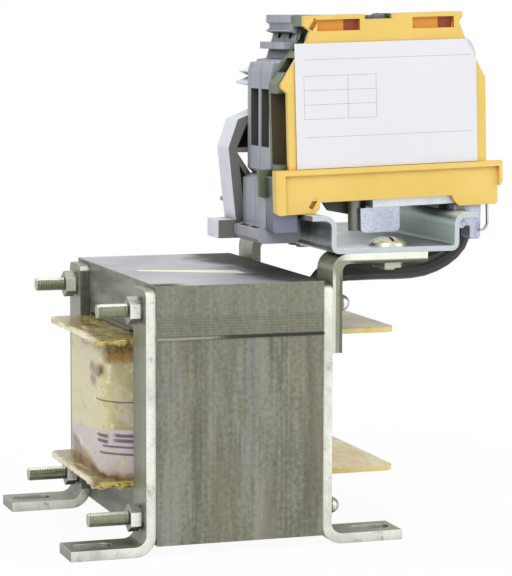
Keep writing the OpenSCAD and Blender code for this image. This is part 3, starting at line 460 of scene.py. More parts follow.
zincPlain = {"bevel": 0.3 * mm, "reach": 6 * mm, "creviceShade": (30, 30, 24), "turn": (0.0, 0.0, 0.0), "speckle": 0.12,
             "paintedLightPatches": []}
# colours for faces that look left, up and along the rail are painted light and shade; the bolts' white up colour and
# the nuts' near-white flats are painted highlights
zincLooks = {
    "zincFeet": {
        "nodes": ["foot_front_left", "foot_rear_left", "foot_front_right", "foot_rear_right"],
        "dark": (120, 121, 106), "pale": (178, 180, 165), "cut": (248, 249, 238), "left": (124, 126, 110),
        "up": (118, 117, 98), "wearAndPaintedLight": (246, 246, 234), "rough": 0.36, "metal": 0.4,
        # painted shade on the rear left foot's front edge
        "paintedLightPatches": [{"x": (-19.6, -16.5), "y": (20.2, 20.9), "z": (4.0, 50.6), "tint": (72, 70, 56), **upright}]},
    "zincBracket": {
        "nodes": ["rail_bracket_front", "rail_bracket_rear"],
        "dark": (104, 106, 86), "pale": (160, 163, 142), "cut": (146, 150, 130), "left": (156, 159, 136),
        "up": (160, 163, 142), "wearAndPaintedLight": (238, 239, 228), "rough": 0.36, "metal": 0.4,
        # painted highlight on the top and the outer side of the cut edges, painted shade below and on the inner side
        "paintedLightPatches": [{"x": (21.2, 42.0), "y": (-30.0, -29.3), "z": (56.3, 58.0), "tint": (248, 249, 236),
                     **upright, "soft": (1.6, 0.1, 0.15)},
                    {"x": (23.0, 42.0), "y": (-30.0, -29.3), "z": (55.0, 56.1), "tint": (66, 66, 48),
                     **upright, "soft": (1.0, 0.1, 0.15)},
                    {"x": (18.5, 19.6), "y": (-30.0, -29.3), "z": (37.0, 53.6), "tint": (224, 227, 208),
                     **upright, "soft": (0.1, 0.1, 1.4)},
                    {"x": (20.4, 21.5), "y": (-30.0, -29.3), "z": (37.0, 53.6), "tint": (92, 94, 72),
                     **upright, "soft": (0.1, 0.1, 1.4)}]},
    "zincRail": {
        "nodes": ["mounting_rail"], "turn": (math.pi / 2, 0.0, 0.0),
        "dark": (180, 192, 191), "pale": (218, 229, 228), "cut": (192, 199, 206), "left": (84, 93, 91),
        "up": (220, 234, 232), "wearAndPaintedLight": (232, 237, 241), "rough": 0.3, "metal": 0.3,
        # painted light on the inner face of the right wall, a painted dark reflection on the floor
        "paintedLightPatches": [{"x": (44.2, 45.0), "y": (-29.3, 29.4), "z": (58.9, 64.0), "tint": (176, 192, 189),
                     **upright, "soft": (0.1, 0.1, 0.5)},
                    {"x": (32.0, 48.0), "y": (-28.6, 40.0), "z": (58.0, 58.9), "tint": (86, 96, 92),
                     **upright, "soft": (5.0, 0.8, 0.1)}]},
    "nutSteel": {
        "nodes": ["core_nuts"],
        "dark": (70, 72, 58), "pale": (130, 132, 114), "cut": (255, 255, 250), "left": (112, 114, 100),
        "up": (170, 172, 154), "wearAndPaintedLight": (250, 250, 240), "rough": 0.24, "metal": 0.35},
    "boltSteel": {
        "nodes": ["core_bolts"],
        "dark": (78, 80, 58), "pale": (156, 158, 130), "cut": (128, 130, 106), "left": (156, 158, 136),
        "up": (255, 255, 248), "wearAndPaintedLight": (244, 244, 232), "rough": 0.22, "metal": 0.45},
    "brightSteel": {
        "nodes": ["core_washers", "core_lock_washers", "rail_screws", "rail_nuts", "end_stop_screw"],
        "dark": (128, 128, 108), "pale": (216, 214, 196), "cut": (214, 212, 194), "left": (128, 128, 110),
        "up": (236, 232, 214), "wearAndPaintedLight": (250, 250, 240), "rough": 0.22, "metal": 0.6},
    "earthFootSteel": {
        "nodes": ["earth_foot", "earth_jaw_screw"],
        "dark": (92, 94, 84), "pale": (150, 154, 148), "cut": (206, 213, 228), "left": (74, 75, 58),
        "up": (190, 192, 196), "wearAndPaintedLight": (226, 228, 230), "rough": 0.34, "metal": 0.4,
        # painted shade on the hook plate and beside it, a painted highlight on the bar
        "paintedLightPatches": [{"x": (8.0, 15.2), "y": (-24.0, -18.0), "z": (60.0, 67.6), "tint": (98, 103, 124), **upright},
                    {"x": (24.4, 28.4), "y": (-24.0, -18.0), "z": (60.0, 72.2), "tint": (122, 126, 106), **upright},
                    {"x": (29.0, 48.0), "y": (-24.0, -18.0), "z": (64.0, 76.0), "tint": (236, 242, 248), **upright}]},
    "clampSteel": {
        "nodes": ["earth_rail_jaw", "earth_jaw_plate", "earth_jaw_spring", "earth_cages", "earth_screws",
                  "terminal_cages", "terminal_screws", "lead_ferrules"],
        "dark": (140, 144, 162), "pale": (204, 210, 224), "cut": (206, 213, 232), "left": (40, 38, 30),
        "up": (196, 202, 216), "wearAndPaintedLight": (240, 242, 248), "rough": 0.34, "metal": 0.4, "speckle": 0.42},
    "barBrass": {
        "nodes": ["terminal_bars", "earth_bar"],
        "dark": (150, 118, 52), "pale": (206, 176, 96), "cut": (206, 176, 96), "left": (160, 130, 66),
        "up": (206, 176, 96), "wearAndPaintedLight": (230, 208, 140), "rough": 0.32, "metal": 0.75},
}


def makeZinc(name, look):
    # streaked coat, with painted light and shade on faces that look left, up and along the rail, where it is also
    # sheared
    made, tree, inputs, place = startMaterial(name)
    coat = useGroup(tree, zincCoat, Vector=stretched(tree, place, (1.0, 1.0, 1.0), turn=look["turn"]))
    edges = useGroup(tree, softEdges, Radius=look["bevel"])
    face = useGroup(tree, facing)
    hollowShade = useGroup(tree, occlusionShade, Reach=look["reach"])["Hollow"]
    shade = stepUp(tree, coat["Shade"], 0.32, 0.66)
    colour = mixTint(tree, shade, tint(*look["dark"]), tint(*look["pale"]))
    partly = plus(tree, 0.95, times(tree, shade, -0.35))
    # painted light and shade by the way a face looks
    colour = lay(tree, colour, face["Left"], partly, look["left"])
    colour = lay(tree, colour, face["Up"], partly, look["up"])
    colour = lay(tree, colour, face["Ahead"], plus(tree, 0.55, times(tree, shade, 0.4)), look["cut"])
    colour = lay(tree, colour, coat["Spots"], 0.5, look["dark"])
    speckle = stepUp(tree, noiseAt(tree, place, 1900.0, 2.0, 0.6), 0.48, 0.62)
    colour = lay(tree, colour, speckle, look["speckle"], look["dark"])
    # worn edges, painted with a highlight as well
    colour = lay(tree, colour, edges["Edge"], 0.6, look["wearAndPaintedLight"])
    # painted shade deep in hollows
    colour = lay(tree, colour, hollowShade, 0.75, look["creviceShade"])
    # boxes of painted light and shade, laid last
    for lightPatch in look["paintedLightPatches"]:
        streaky = plus(tree, 0.65, times(tree, shade, 0.3))
        colour = lay(tree, colour, insideBox(tree, place, lightPatch), streaky, lightPatch["tint"])
    feed(tree, colour, inputs["Base Color"])
    inputs["Metallic"].default_value = look["metal"]
    feed(tree, plus(tree, look["rough"] - 0.1, times(tree, coat["Shade"], 0.24)), inputs["Roughness"])
    addBump(tree, inputs, coat["Height"], 0.2, 0.08 * mm, edges["Normal"])
    return made


for name, look in zincLooks.items():
    dress(look["nodes"], makeZinc(name, {**zincPlain, **look}))


# moulded plastics

plastic = {"bevel": 0.22 * mm, "grain": 2600.0, "grainDeep": 0.04 * mm, "dust": (210, 210, 204)}
plasticLooks = {
    "terminalGrey": {
        "nodes": ["terminal_1_housing", "terminal_2_housing", "terminal_end_cover"],
        "base": (168, 172, 180), "low": (151, 155, 163), "edge": (200, 203, 209), "hollowShade": (44, 37, 28),
        "reach": 5 * mm, "rough": 0.5, "front": None,
        # painted shade in the wire entries and the gaps between blocks
        "shadedPits": [{"x": (10.05, 52.35), "y": (-18.2, -5.05), "z": (77.75, 89.55), "tint": (72, 72, 67), **upright},
                 {"x": (6.0, 54.0), "y": (-11.6, -11.4), "z": (58.0, 105.0), "tint": (96, 99, 104), **upright},
                 {"x": (6.0, 54.0), "y": (-5.1, -4.9), "z": (58.0, 105.0), "tint": (96, 99, 104), **upright}]},
    "stopGrey": {
        "nodes": ["end_stop"],
        "base": (228, 231, 238), "low": (214, 217, 223), "edge": (238, 240, 244), "hollowShade": (50, 46, 38),
        # a painted shadow on faces that look forward
        "reach": 7 * mm, "rough": 0.5, "front": (82, 78, 66), "shadedPits": []},
    "earthGreen": {
        "nodes": ["earth_housing_green"],
        "base": (110, 125, 100), "low": (93, 110, 85), "edge": (142, 157, 134), "hollowShade": (34, 28, 20),
        "reach": 7 * mm, "rough": 0.48, "front": None,
        # painted shade in the wire entries, and red-brown shade behind the marker windows
        "shadedPits": [{"x": (9.66, 54.7), "y": (-23.4, -18.2), "z": (74.7, 89.0), "tint": (74, 66, 44), **earthLean},
                 {"x": (16.5, 47.0), "y": (-23.6, -23.1), "z": (100.4, 104.0), "tint": (150, 72, 40), **earthLean}]},
    "earthYellow": {
        "nodes": ["earth_housing_yellow"],
        "base": (232, 199, 107), "low": (225, 190, 93), "edge": (243, 217, 130), "hollowShade": (196, 122, 30),
        "reach": 2.2 * mm, "rough": 0.46, "front": None,
        # painted orange shade on the floors of the marker windows
        "shadedPits": [{"x": (17.7, 26.75), "y": (-24.35, -23.0), "z": (100.5, 103.75), "tint": (214, 146, 44), **earthLean},
                 {"x": (37.7, 46.75), "y": (-24.35, -23.0), "z": (101.1, 104.1), "tint": (214, 146, 44), **earthLean}]},
}


def makePlastic(name, look):
    # clouded base with a fine grain, paler on edges, painted shade deep in recesses and wire entries
    made, tree, inputs, place = startMaterial(name)
    grain = useGroup(tree, mouldGrain, Vector=place, Grain=plastic["grain"])
    edges = useGroup(tree, softEdges, Radius=plastic["bevel"])
    dust = useGroup(tree, dustFall, Vector=place)["Dust"]
    hollowShade = useGroup(tree, occlusionShade, Reach=look["reach"])["Hollow"]
    colour = mixTint(tree, stepUp(tree, grain["Shade"], 0.3, 0.7), tint(*look["low"]), tint(*look["base"]))
    colour = lay(tree, colour, edges["Edge"], 0.5, look["edge"])
    colour = lay(tree, colour, dust, 0.1, plastic["dust"])
    if look["front"]:
        # painted shadow on faces that look forward, where the look gives one
        colour = lay(tree, colour, useGroup(tree, facing)["Front"], 0.85, look["front"])
    # painted shade deep in recesses
    colour = lay(tree, colour, hollowShade, 0.95, look["hollowShade"])
    # boxes of painted shade
    for paintedLightBox in look["shadedPits"]:
        colour = mixTint(tree, insideBox(tree, place, paintedLightBox), colour, tint(*paintedLightBox["tint"]))
    feed(tree, colour, inputs["Base Color"])
    feed(tree, minus(tree, look["rough"] + 0.06, times(tree, grain["Rub"], 0.16)), inputs["Roughness"])
    addBump(tree, inputs, grain["Grain"], 0.1, plastic["grainDeep"], edges["Normal"])
    return made


for name, look in plasticLooks.items():
    dress(look["nodes"], makePlastic(name, look))
print("core, metal and plastic finishes set")


# varnished coil former

boardLook = {
    "base": (246, 238, 208), "low": (228, 214, 170), "amber": (150, 133, 76), "brown": (88, 73, 36),
    "gold": (222, 196, 98), "rough": 0.4, "bevel": 0.2 * mm, "pools": 0.12, "streaks": (430.0, 130.0, 300.0),
    "leftX": (0.0, 2.0), "wetX": (-27.6, -24.6), "wetY": (-19.0, -12.0),
}


def makeBoard():
    # pale pressboard, mottled amber and brown on the coil's left side, golden along its sheared edges
    made, tree, inputs, place = startMaterial("varnishedBoard")
    x, y = parts(tree, place)[:2]
    pools = useGroup(tree, varnish, Vector=place, Amount=boardLook["pools"])
    weave = noiseAt(tree, place, 1400.0, 2.0, 0.5)
    cloud = noiseAt(tree, place, 110.0, 4.0, 0.6)
    streak = noiseAt(tree, stretched(tree, place, boardLook["streaks"]), 1.0, 5.0, 0.7)
    warp = times(tree, minus(tree, streak, 0.5), 2.0)
    edges = useGroup(tree, softEdges, Radius=boardLook["bevel"])
    rightSide = stepUp(tree, x, *metres(boardLook["leftX"]))
    nearCore = stepUp(tree, x, *metres(boardLook["wetX"]))
    nearEdge = minus(tree, 1.0, stepUp(tree, y, *metres(boardLook["wetY"])))
    soaked = plus(tree, times(tree, nearCore, 0.66), times(tree, nearEdge, 0.12))
    soaked = calc(tree, "ADD", times(tree, minus(tree, 1.0, rightSide), soaked), warp, clamp=True)
    colour = mixTint(tree, stepUp(tree, cloud, 0.3, 0.7), tint(*boardLook["low"]), tint(*boardLook["base"]))
    colour = lay(tree, colour, pools["Pool"], 0.6, boardLook["gold"])
    colour = mixTint(tree, stepUp(tree, soaked, 0.2, 0.6), colour, tint(*boardLook["amber"]))
    colour = lay(tree, colour, stepUp(tree, soaked, 0.62, 1.0), 0.9, boardLook["brown"])
    colour = lay(tree, colour, times(tree, rightSide, stepUp(tree, streak, 0.44, 0.6)), 0.8, boardLook["gold"])
    rim = times(tree, useGroup(tree, facing)["Ahead"], stepUp(tree, cloud, 0.25, 0.55))
    colour = lay(tree, colour, rim, 0.8, boardLook["gold"])
    feed(tree, colour, inputs["Base Color"])
    shine = most(tree, pools["Thick"], most(tree, soaked, rim))
    feed(tree, minus(tree, boardLook["rough"], times(tree, shine, 0.22)), inputs["Roughness"])
    addBump(tree, inputs, plus(tree, times(tree, weave, 0.4), times(tree, warp, 0.7)), 0.35, 0.2 * mm, edges["Normal"])
    return made


dress(["bobbin"], makeBoard())


# spacer in the air gap

spacerLook = {"pale": (146, 147, 131), "dark": (36, 33, 26), "side": (104, 100, 84),
              "turn": (-9.0, -1.0), "stray": 14.0}


def makeSpacer():
    # pale at the left end of its front, dark with varnish to the right, painted shade on its left side
    made, tree, inputs, place = startMaterial("gapStrip")
    cloud = noiseAt(tree, place, 420.0, 4.0, 0.65)
    reach = plus(tree, parts(tree, place)[0], times(tree, minus(tree, cloud, 0.5), spacerLook["stray"] * mm))
    turn = stepUp(tree, reach, *metres(spacerLook["turn"]))
    colour = mixTint(tree, turn, tint(*spacerLook["pale"]), tint(*spacerLook["dark"]))
    # painted shade on faces that look left
    colour = mixTint(tree, useGroup(tree, facing)["Left"], colour, tint(*spacerLook["side"]))
    feed(tree, colour, inputs["Base Color"])
    feed(tree, plus(tree, 0.55, times(tree, cloud, 0.2)), inputs["Roughness"])
    addBump(tree, inputs, cloud, 0.2, 0.1 * mm)
    return made


dress(["gap_spacer"], makeSpacer())


# tape round the coil

tapeLook = {
    # the darker tape colour is painted shade on the coil's front
    "pale": (212, 206, 160), "shade": (164, 158, 114), "turn": (-16.0, -12.5), "lilac": (200, 187, 193),
    "ink": (74, 56, 84), "line": (70, 68, 66), "brown": (50, 34, 4), "amber": (150, 112, 22), "rough": 0.38,
    "mottles": [{"scale": 150.0, "from": (0.5, 0.68), "share": 0.6, "tint": (212, 190, 178)},
                {"scale": 260.0, "from": (0.52, 0.68), "share": 0.55, "tint": (186, 178, 104)},
                {"scale": 330.0, "from": (0.55, 0.7), "share": 0.6, "tint": (236, 230, 208)},
                {"scale": 620.0, "from": (0.62, 0.72), "share": 0.5, "tint": (124, 102, 62)}],
    "lap": {"z": 28.2, "half": 0.16, "y": (-30.0, -9.0)},
    "band": {"z": (11.0, 20.6), "slope": 0.08, "from": 9.7},
    "inkLines": [
        {"z": 21.5, "half": 0.34, "y": (-30.0, -15.0)}, {"z": 20.5, "half": 0.36, "y": (-30.0, -14.8)},
        {"z": 21.2, "half": 0.36, "y": (-13.8, -9.8)}, {"z": 20.1, "half": 0.36, "y": (-13.8, -10.0)},
        {"z": 19.2, "half": 0.22, "y": (-30.0, -12.4)}, {"z": 17.8, "half": 0.22, "y": (-30.0, -11.0)},
    ],
    "stains": [
        {"y": (-30.0, -13.0), "z": (36.0, 41.0), "soft": 1.0, "slope": 0.0},
        {"y": (-12.5, -4.5), "z": (33.0, 35.2), "soft": 0.9, "slope": 0.0},
        {"y": (-9.0, -5.0), "z": (30.6, 32.6), "soft": 0.8, "slope": 0.0},
        {"y": (-12.0, 2.0), "z": (38.2, 41.0), "soft": 0.9, "slope": 0.0},
        {"y": (-16.0, 15.8), "z": (-20.0, 12.8), "soft": 0.8, "slope": 0.22},
    ],
    "foot": (12.4, 14.6), "shown": (-6.0, -2.0),
}


def makeTape():
    # pale tape with lapped edges, painted shade on its front, a lilac band with inked dashes, and varnish stains
    made, tree, inputs, place = startMaterial("coilTape")
    band, lap = tapeLook["band"], tapeLook["lap"]
    wobble = times(tree, minus(tree, noiseAt(tree, place, 170.0, 3.0, 0.6), 0.5), 1.2)
    fine = times(tree, minus(tree, noiseAt(tree, place, 600.0, 4.0, 0.7), 0.5), 1.6)
    cloud = noiseAt(tree, place, 140.0, 5.0, 0.65)
    x, y, z = parts(tree, place)
    tall = times(tree, z, 1 / mm)  # heights and places along Y are in mm from here on
    across = plus(tree, times(tree, y, 1 / mm), fine)
    level = plus(tree, tall, times(tree, wobble, 0.35))
    ragged = plus(tree, tall, plus(tree, wobble, fine))
    shown = minus(tree, 1.0, stepUp(tree, x, *metres(tapeLook["shown"])))
    # the coil's front is painted darker than its left side, as shade where the tape turns away from the light
    colour = mixTint(tree, stepUp(tree, across, *tapeLook["turn"]), tint(*tapeLook["shade"]), tint(*tapeLook["pale"]))
    lean = times(tree, minus(tree, band["from"], across), band["slope"])
    inBand = between(tree, minus(tree, level, lean), *band["z"], 0.12)
    colour = lay(tree, colour, inBand, 0.85, tapeLook["lilac"])
    for n, mottle in enumerate(tapeLook["mottles"]):
        moved = stretched(tree, place, (1.0, 1.0, 1.3), shift=(0.0, 0.1 * n, 0.0))
        spread = stepUp(tree, noiseAt(tree, moved, mottle["scale"], 4.0, 0.6), *mottle["from"])
        colour = lay(tree, colour, spread, mottle["share"], mottle["tint"])
    ink = 0.0
    for line in tapeLook["inkLines"]:
        drawn = between(tree, level, line["z"] - line["half"], line["z"] + line["half"], 0.14)
        ink = most(tree, ink, times(tree, drawn, between(tree, across, *line["y"], 0.4)))
    ink = times(tree, ink, stepUp(tree, noiseAt(tree, place, 420.0, 3.0, 0.6), 0.3, 0.44))
    colour = lay(tree, colour, times(tree, ink, shown), 0.85, tapeLook["ink"])
    edge = between(tree, level, lap["z"] - lap["half"], lap["z"] + lap["half"], 0.1)
    edge = times(tree, edge, between(tree, across, *lap["y"], 0.5))
    colour = lay(tree, colour, times(tree, edge, shown), 0.8, tapeLook["line"])
    stain = minus(tree, 1.0, stepUp(tree, ragged, *tapeLook["foot"]))
    for spot in tapeLook["stains"]:
        tilt = times(tree, minus(tree, across, spot["y"][0]), spot["slope"])
        here = between(tree, minus(tree, ragged, tilt), *spot["z"], spot["soft"])
        here = times(tree, here, between(tree, across, *spot["y"], spot["soft"] * 1.5))
        stain = most(tree, stain, here)
    stain = times(tree, times(tree, stain, shown), stepUp(tree, cloud, 0.28, 0.42))
    colour = lay(tree, colour, stain, 0.97, tapeLook["amber"])
    deep = times(tree, stain, stepUp(tree, noiseAt(tree, place, 380.0, 5.0, 0.7), 0.44, 0.6))
    colour = lay(tree, colour, deep, 0.9, tapeLook["brown"])
    feed(tree, colour, inputs["Base Color"])
    feed(tree, minus(tree, tapeLook["rough"], times(tree, stain, 0.2)), inputs["Roughness"])
    height = plus(tree, times(tree, fine, 0.5), times(tree, inBand, 0.5))
    height = plus(tree, height, stepUp(tree, level, lap["z"] - 0.1, lap["z"] + 0.1))
    addBump(tree, inputs, height, 0.3, 0.2 * mm)
    return made


dress(["outer_tape"], makeTape())


# copper wire under the tape

copperLook = {"dark": (120, 62, 30), "pale": (190, 112, 62), "turn": 0.9 * mm}


def makeCopper():
    # clouded copper, ridged once for each turn of wire
    made, tree, inputs, place = startMaterial("windingCopper")
    turns = calc(tree, "PINGPONG", calc(tree, "DIVIDE", parts(tree, place)[2], copperLook["turn"]), 0.5)
    cloud = noiseAt(tree, place, 160.0, 4.0, 0.6)
    feed(tree, mixTint(tree, cloud, tint(*copperLook["dark"]), tint(*copperLook["pale"])), inputs["Base Color"])
    inputs["Metallic"].default_value = 0.8
    feed(tree, plus(tree, 0.3, times(tree, cloud, 0.2)), inputs["Roughness"])
    addBump(tree, inputs, turns, 0.6, 0.3 * mm)
    return made


dress(["winding"], makeCopper())


# black leads

leadLook = {"dark": (38, 38, 34), "pale": (70, 70, 64), "dust": (150, 150, 140)}


def makeLeadSleeve():
    # clouded black sleeve with a little dust on top
    made, tree, inputs, place = startMaterial("leadSleeve")
    cloud = noiseAt(tree, place, 260.0, 4.0, 0.6)
    colour = mixTint(tree, cloud, tint(*leadLook["dark"]), tint(*leadLook["pale"]))
    colour = lay(tree, colour, useGroup(tree, dustFall, Vector=place)["Dust"], 0.2, leadLook["dust"])
    feed(tree, colour, inputs["Base Color"])
    feed(tree, plus(tree, 0.38, times(tree, cloud, 0.16)), inputs["Roughness"])
    addBump(tree, inputs, cloud, 0.1, 0.1 * mm)
    return made


dress(["lead_start", "lead_finish"], makeLeadSleeve())
print("coil and lead finishes set")


# surface helpers for new pieces

def meshPoints(name):
    data = cad[name].data
    flat = np.empty(3 * len(data.vertices))
    data.vertices.foreach_get("co", flat)
    return flat.reshape(-1, 3)


def gridFaces(rows, columns, closed=False):
    # quads of a grid of points stored row by row; a closed grid joins its last column to the first
    wide = columns if closed else columns - 1
    r, c = np.meshgrid(np.arange(rows - 1), np.arange(wide), indexing="ij")
    n = (c + 1) % columns
    quads = np.stack([r * columns + c, r * columns + n, (r + 1) * columns + n, (r + 1) * columns + c], axis=-1)
    return quads.reshape(-1, 4)


def addPiece(name, points, faces, material, smooth=True):
    mesh = bpy.data.meshes.new(name)
    mesh.from_pydata(np.asarray(points).tolist(), [], np.asarray(faces).tolist())
    mesh.polygons.foreach_set("use_smooth", [smooth] * len(mesh.polygons))
    mesh.materials.append(material)
    piece = bpy.data.objects.new(name, mesh)
    bpy.context.scene.collection.objects.link(piece)
    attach(piece, "root")
    return piece


# rating label, bare but for its rules

labelSheet = {
    "columns": 72, "rows": 48, "lift": 0.05 * mm,
    "foldX": 2.6 * mm, "foldZ": 4.2 * mm, "foldBack": 1.6 * mm, "foldIn": 0.48 * mm,
    "paper": (227, 227, 230), "low": (219, 219, 222), "turned": (176, 178, 184), "ink": (92, 92, 98),
    "rule": 0.0035, "upright": 0.65, "ruleSoft": 0.0012,
    "longRules": (0.251, 0.87), "longSpan": (0.05, 0.975),
    "tableRows": (0.396, 0.511, 0.625, 0.74), "tableColumns": (0.047, 0.285, 0.44),
}


def makeLabelPaper(foldU, foldV):
    # paper with thin grey rules drawn in the sheet's own 0..1 coordinates, painted shade on its folded corner
    made, tree, inputs, place = startMaterial("labelPaper")
    u, v = parts(tree, tree.nodes.new("ShaderNodeUVMap").outputs[0])[:2]
    rows, columns = labelSheet["tableRows"], labelSheet["tableColumns"]

    def rules(along, places, across, span, share=1.0):
        half, soft = share * labelSheet["rule"] / 2, share * labelSheet["ruleSoft"]
        inside = between(tree, across, *span, labelSheet["ruleSoft"])
        return [times(tree, between(tree, along, at - half, at + half, soft), inside) for at in places]

    lines = rules(v, labelSheet["longRules"], u, labelSheet["longSpan"])
    lines += rules(v, rows, u, (columns[0], columns[-1]))
    lines += rules(u, columns, v, (rows[0], rows[-1]), labelSheet["upright"])
    drawn = 0.0
    for line in lines:
        drawn = most(tree, drawn, line)
    fibre = noiseAt(tree, place, 900.0, 4.0, 0.6)
    cloud = noiseAt(tree, place, 50.0, 3.0, 0.5)
    paper = mixTint(tree, cloud, tint(*labelSheet["low"]), tint(*labelSheet["paper"]))
    # painted shade on the corner that is folded back
    corner = 1 / foldU + 1 / foldV
    ramp = plus(tree, calc(tree, "DIVIDE", u, foldU), calc(tree, "DIVIDE", v, foldV))
    paper = lay(tree, paper, stepUp(tree, ramp, corner - 1.1, corner - 0.7), 0.6, labelSheet["turned"])
    paper = lay(tree, paper, drawn, plus(tree, 0.45, times(tree, fibre, 0.3)), labelSheet["ink"])
    feed(tree, paper, inputs["Base Color"])
    feed(tree, plus(tree, 0.3, times(tree, fibre, 0.15)), inputs["Roughness"])
    addBump(tree, inputs, fibre, 0.05, 0.03 * mm)
    return made


def makeLabelSheet():
    # flat sheet over the solid's front, its upper right corner folded back by a squared ramp
    corners = meshPoints("rating_label")
    front = corners[:, 1].min()
    lowLeft = corners[np.argmin(corners[:, 0] + corners[:, 2])]
    lowRight = corners[np.argmax(corners[:, 0] - corners[:, 2])]
    highLeft = corners[np.argmin(corners[:, 0] - corners[:, 2])]
    across, tall = lowRight - lowLeft, highLeft - lowLeft
    v, u = np.meshgrid(np.linspace(0, 1, labelSheet["rows"]), np.linspace(0, 1, labelSheet["columns"]), indexing="ij")
    wide, high = np.linalg.norm(across[[0, 2]]), np.linalg.norm(tall[[0, 2]])
    ramp = 1 - (1 - u) * wide / labelSheet["foldX"] - (1 - v) * high / labelSheet["foldZ"]
    fold = np.clip(ramp, 0, 1) ** 2
    x = lowLeft[0] + u * across[0] + v * tall[0] - labelSheet["foldIn"] * fold
    z = lowLeft[2] + u * across[2] + v * tall[2] - labelSheet["foldIn"] * fold
    y = front - labelSheet["lift"] + labelSheet["foldBack"] * fold
    points = np.stack([x, y, z], axis=-1).reshape(-1, 3)
    faces = gridFaces(labelSheet["rows"], labelSheet["columns"])
    material = makeLabelPaper(labelSheet["foldX"] / wide, labelSheet["foldZ"] / high)
    piece = addPiece("labelSheet", points, faces, material)
    layer = piece.data.uv_layers.new(name="sheet")
    own = np.stack([u, v], axis=-1).reshape(-1, 2)
    layer.data.foreach_set("uv", own[faces.reshape(-1)].reshape(-1))
    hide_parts("rating_label")


makeLabelSheet()


# rolled threads on the clamping bolts' free ends

boltThread = {"pitch": 0.5 * mm, "ridge": 0.07 * mm, "clear": 0.02 * mm, "bare": 0.4 * mm, "sides": 28,
              "perTurn": 8}


def boltPoints():
    # points of each clamping bolt: front low, front high, rear low, rear high
    bolts = meshPoints("core_bolts")
    front, high = bolts[:, 1] < 0, bolts[:, 2] > bolts[:, 2].mean()
    return [bolts[(front == f) & (high == h)] for f in (True, False) for h in (False, True)]


def makeBoltThreads():
    # sleeve round each bolt whose radius follows a triangle wave of the angle plus the distance along it
    material = cad["core_bolts"].data.materials[0]
    start = meshPoints("core_nuts")[:, 0].min()
    around = np.linspace(0, 2 * np.pi, boltThread["sides"], endpoint=False)
    for n, bolt in enumerate(boltPoints()):
        shank = bolt[bolt[:, 0] < start]
        centre = (shank.min(axis=0) + shank.max(axis=0)) / 2
        radius = (shank[:, 1].max() - shank[:, 1].min()) / 2 + boltThread["clear"]
        end = shank[:, 0].min() + boltThread["bare"]
        rows = int((start - end) / boltThread["pitch"] * boltThread["perTurn"])
        along, turn = np.meshgrid(np.linspace(start, end, rows), around, indexing="ij")
        phase = (along / boltThread["pitch"] + turn / (2 * np.pi)) % 1.0
        r = radius + boltThread["ridge"] * np.abs(2 * phase - 1)
        points = np.stack([along, centre[1] + r * np.cos(turn), centre[2] + r * np.sin(turn)], axis=-1)
        addPiece(f"boltThread{n + 1}", points.reshape(-1, 3), gridFaces(rows, boltThread["sides"], True), material)


makeBoltThreads()


# round tops of the clamping bolts' heads

headDome = {"radius": 1.75 * mm, "high": 2.1 * mm, "sink": 0.8 * mm, "rings": 12, "sides": 32, "slice": 0.1 * mm}
nearPole = 0.001


def domeGrid(dome):
    # low dome: radius by the sine and height by the cosine of a quarter turn, stopped just short of its pole
    rise, turn = np.meshgrid(np.linspace(np.pi / 2, nearPole, dome["rings"]),
                             np.linspace(0, 2 * np.pi, dome["sides"], endpoint=False), indexing="ij")
    radius = dome["radius"] * np.sin(rise)
    return radius * np.cos(turn), radius * np.sin(turn), dome["high"] * np.cos(rise)


def makeHeadDomes():
    # a dome on each head, its height along X
    material = cad["core_nuts"].data.materials[0]
    a, b, high = domeGrid(headDome)
    for n, bolt in enumerate(boltPoints()):
        face = bolt[:, 0].max()
        ring = bolt[bolt[:, 0] > face - headDome["slice"]]
        centre = (ring.min(axis=0) + ring.max(axis=0)) / 2
        points = np.stack([face - headDome["sink"] + high, centre[1] + a, centre[2] + b], axis=-1)
        faces = gridFaces(headDome["rings"], headDome["sides"], True)
        addPiece(f"headDome{n + 1}", points.reshape(-1, 3), faces, material)


makeHeadDomes()


# varnish that ran to the flanges' front edges and set there

varnishBeads = {
    "edgeX": (-17.2, -23.8), "edgeY": -18.9, "corner": 2.4, "backY": -9.0, "bendSteps": 40, "steps": 120, "sides": 14,
    "runs": {
        "upperBead": {"z": 40.5, "radius": 0.8, "sag": 0.5, "waves": (0.45, 0.9, 1.7), "seed": 0.4},
        "lowerBead": {"z": 12.2, "radius": 0.8, "sag": 0.7, "waves": (0.5, 1.1, 1.9), "seed": 2.1},
    },
    "fade": 1.15, "tip": 8, "plain": 0.72, "swell": 0.4, "hang": 0.6,
    "amber": (202, 182, 94), "dark": (116, 98, 42),
}


def makeBeadVarnish():
    # glossy amber, darker in clouds
    made, tree, inputs, place = startMaterial("setVarnish")
    cloud = noiseAt(tree, place, 480.0, 4.0, 0.65)
    colour = mixTint(tree, stepUp(tree, cloud, 0.4, 0.58), tint(*varnishBeads["dark"]), tint(*varnishBeads["amber"]))
    feed(tree, colour, inputs["Base Color"])
    inputs["Roughness"].default_value = 0.16
    inputs["Coat Weight"].default_value = 0.6
    inputs["Coat Roughness"].default_value = 0.08
    addBump(tree, inputs, cloud, 0.2, 0.3 * mm)
    return made


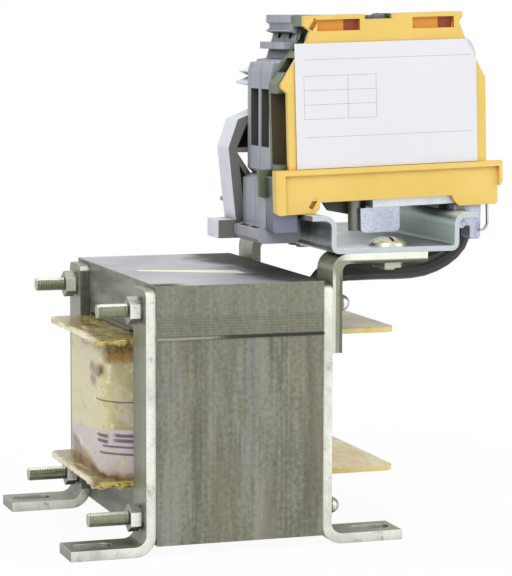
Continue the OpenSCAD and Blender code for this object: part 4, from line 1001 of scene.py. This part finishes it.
def makeVarnishBeads():
    # round bead along the edge and round the corner; its radius and its sag follow a sum of three sines
    look = varnishBeads
    turn = np.linspace(0, np.pi / 2, look["bendSteps"])
    bend = np.stack([look["edgeX"][1] - look["corner"] * np.sin(turn),
                     look["edgeY"] + look["corner"] * (1 - np.cos(turn))], axis=-1)
    route = np.vstack([(look["edgeX"][0], look["edgeY"]), bend, (bend[-1, 0], look["backY"])])
    run = np.concatenate([[0], np.cumsum(np.linalg.norm(np.diff(route, axis=0), axis=1))])
    at = np.linspace(0, run[-1], look["steps"])
    path = np.stack([np.interp(at, run, route[:, 0]), np.interp(at, run, route[:, 1])], axis=-1)
    ahead = np.gradient(path, axis=0)
    ahead /= np.linalg.norm(ahead, axis=1, keepdims=True)
    outward = np.stack([ahead[:, 1], -ahead[:, 0]], axis=-1) * np.sign(-ahead[:1, 0])
    angle = np.linspace(0, 2 * np.pi, look["sides"], endpoint=False)
    material = makeBeadVarnish()
    for name, bead in look["runs"].items():
        share = at / at[-1]
        wave = sum(np.sin(w * at + bead["seed"] * (n + 1)) for n, w in enumerate(bead["waves"])) / 3
        # thinner along its way, and down to nothing at its far end
        taper = np.clip(look["fade"] - share, 0, 1) * np.clip(look["tip"] * (1 - share), 0, 1)
        radius = bead["radius"] * taper * (look["plain"] + look["swell"] * wave)
        sag = bead["sag"] * taper * np.clip(wave, 0, 1)
        flat = path[:, None, :] + radius[:, None, None] * np.cos(angle)[None, :, None] * outward[:, None, :]
        tall = bead["z"] - sag[:, None] + (radius + look["hang"] * sag)[:, None] * np.sin(angle)[None, :]
        points = np.concatenate([flat, tall[:, :, None]], axis=-1) * mm
        addPiece(name, points.reshape(-1, 3), gridFaces(look["steps"], look["sides"], True), material)


makeVarnishBeads()


# plug of the link well in the top of the earth block

linkPlug = {"at": (31.1, -21.2, 103.2), "radius": 1.9 * mm, "high": 1.3 * mm, "rings": 14, "sides": 36,
            "dark": (64, 66, 70), "pale": (92, 94, 98)}


def makeLinkPlug():
    # a dome on the block, its height along Z
    made, tree, inputs, place = startMaterial("plugPlastic")
    grain = useGroup(tree, mouldGrain, Vector=place, Grain=plastic["grain"])
    colour = mixTint(tree, grain["Shade"], tint(*linkPlug["dark"]), tint(*linkPlug["pale"]))
    feed(tree, colour, inputs["Base Color"])
    inputs["Roughness"].default_value = 0.45
    addBump(tree, inputs, grain["Grain"], 0.1, plastic["grainDeep"])
    points = np.stack(domeGrid(linkPlug), axis=-1) + metres(linkPlug["at"])
    addPiece("linkPlug", points.reshape(-1, 3), gridFaces(linkPlug["rings"], linkPlug["sides"], True), made)


makeLinkPlug()
print("new pieces made")
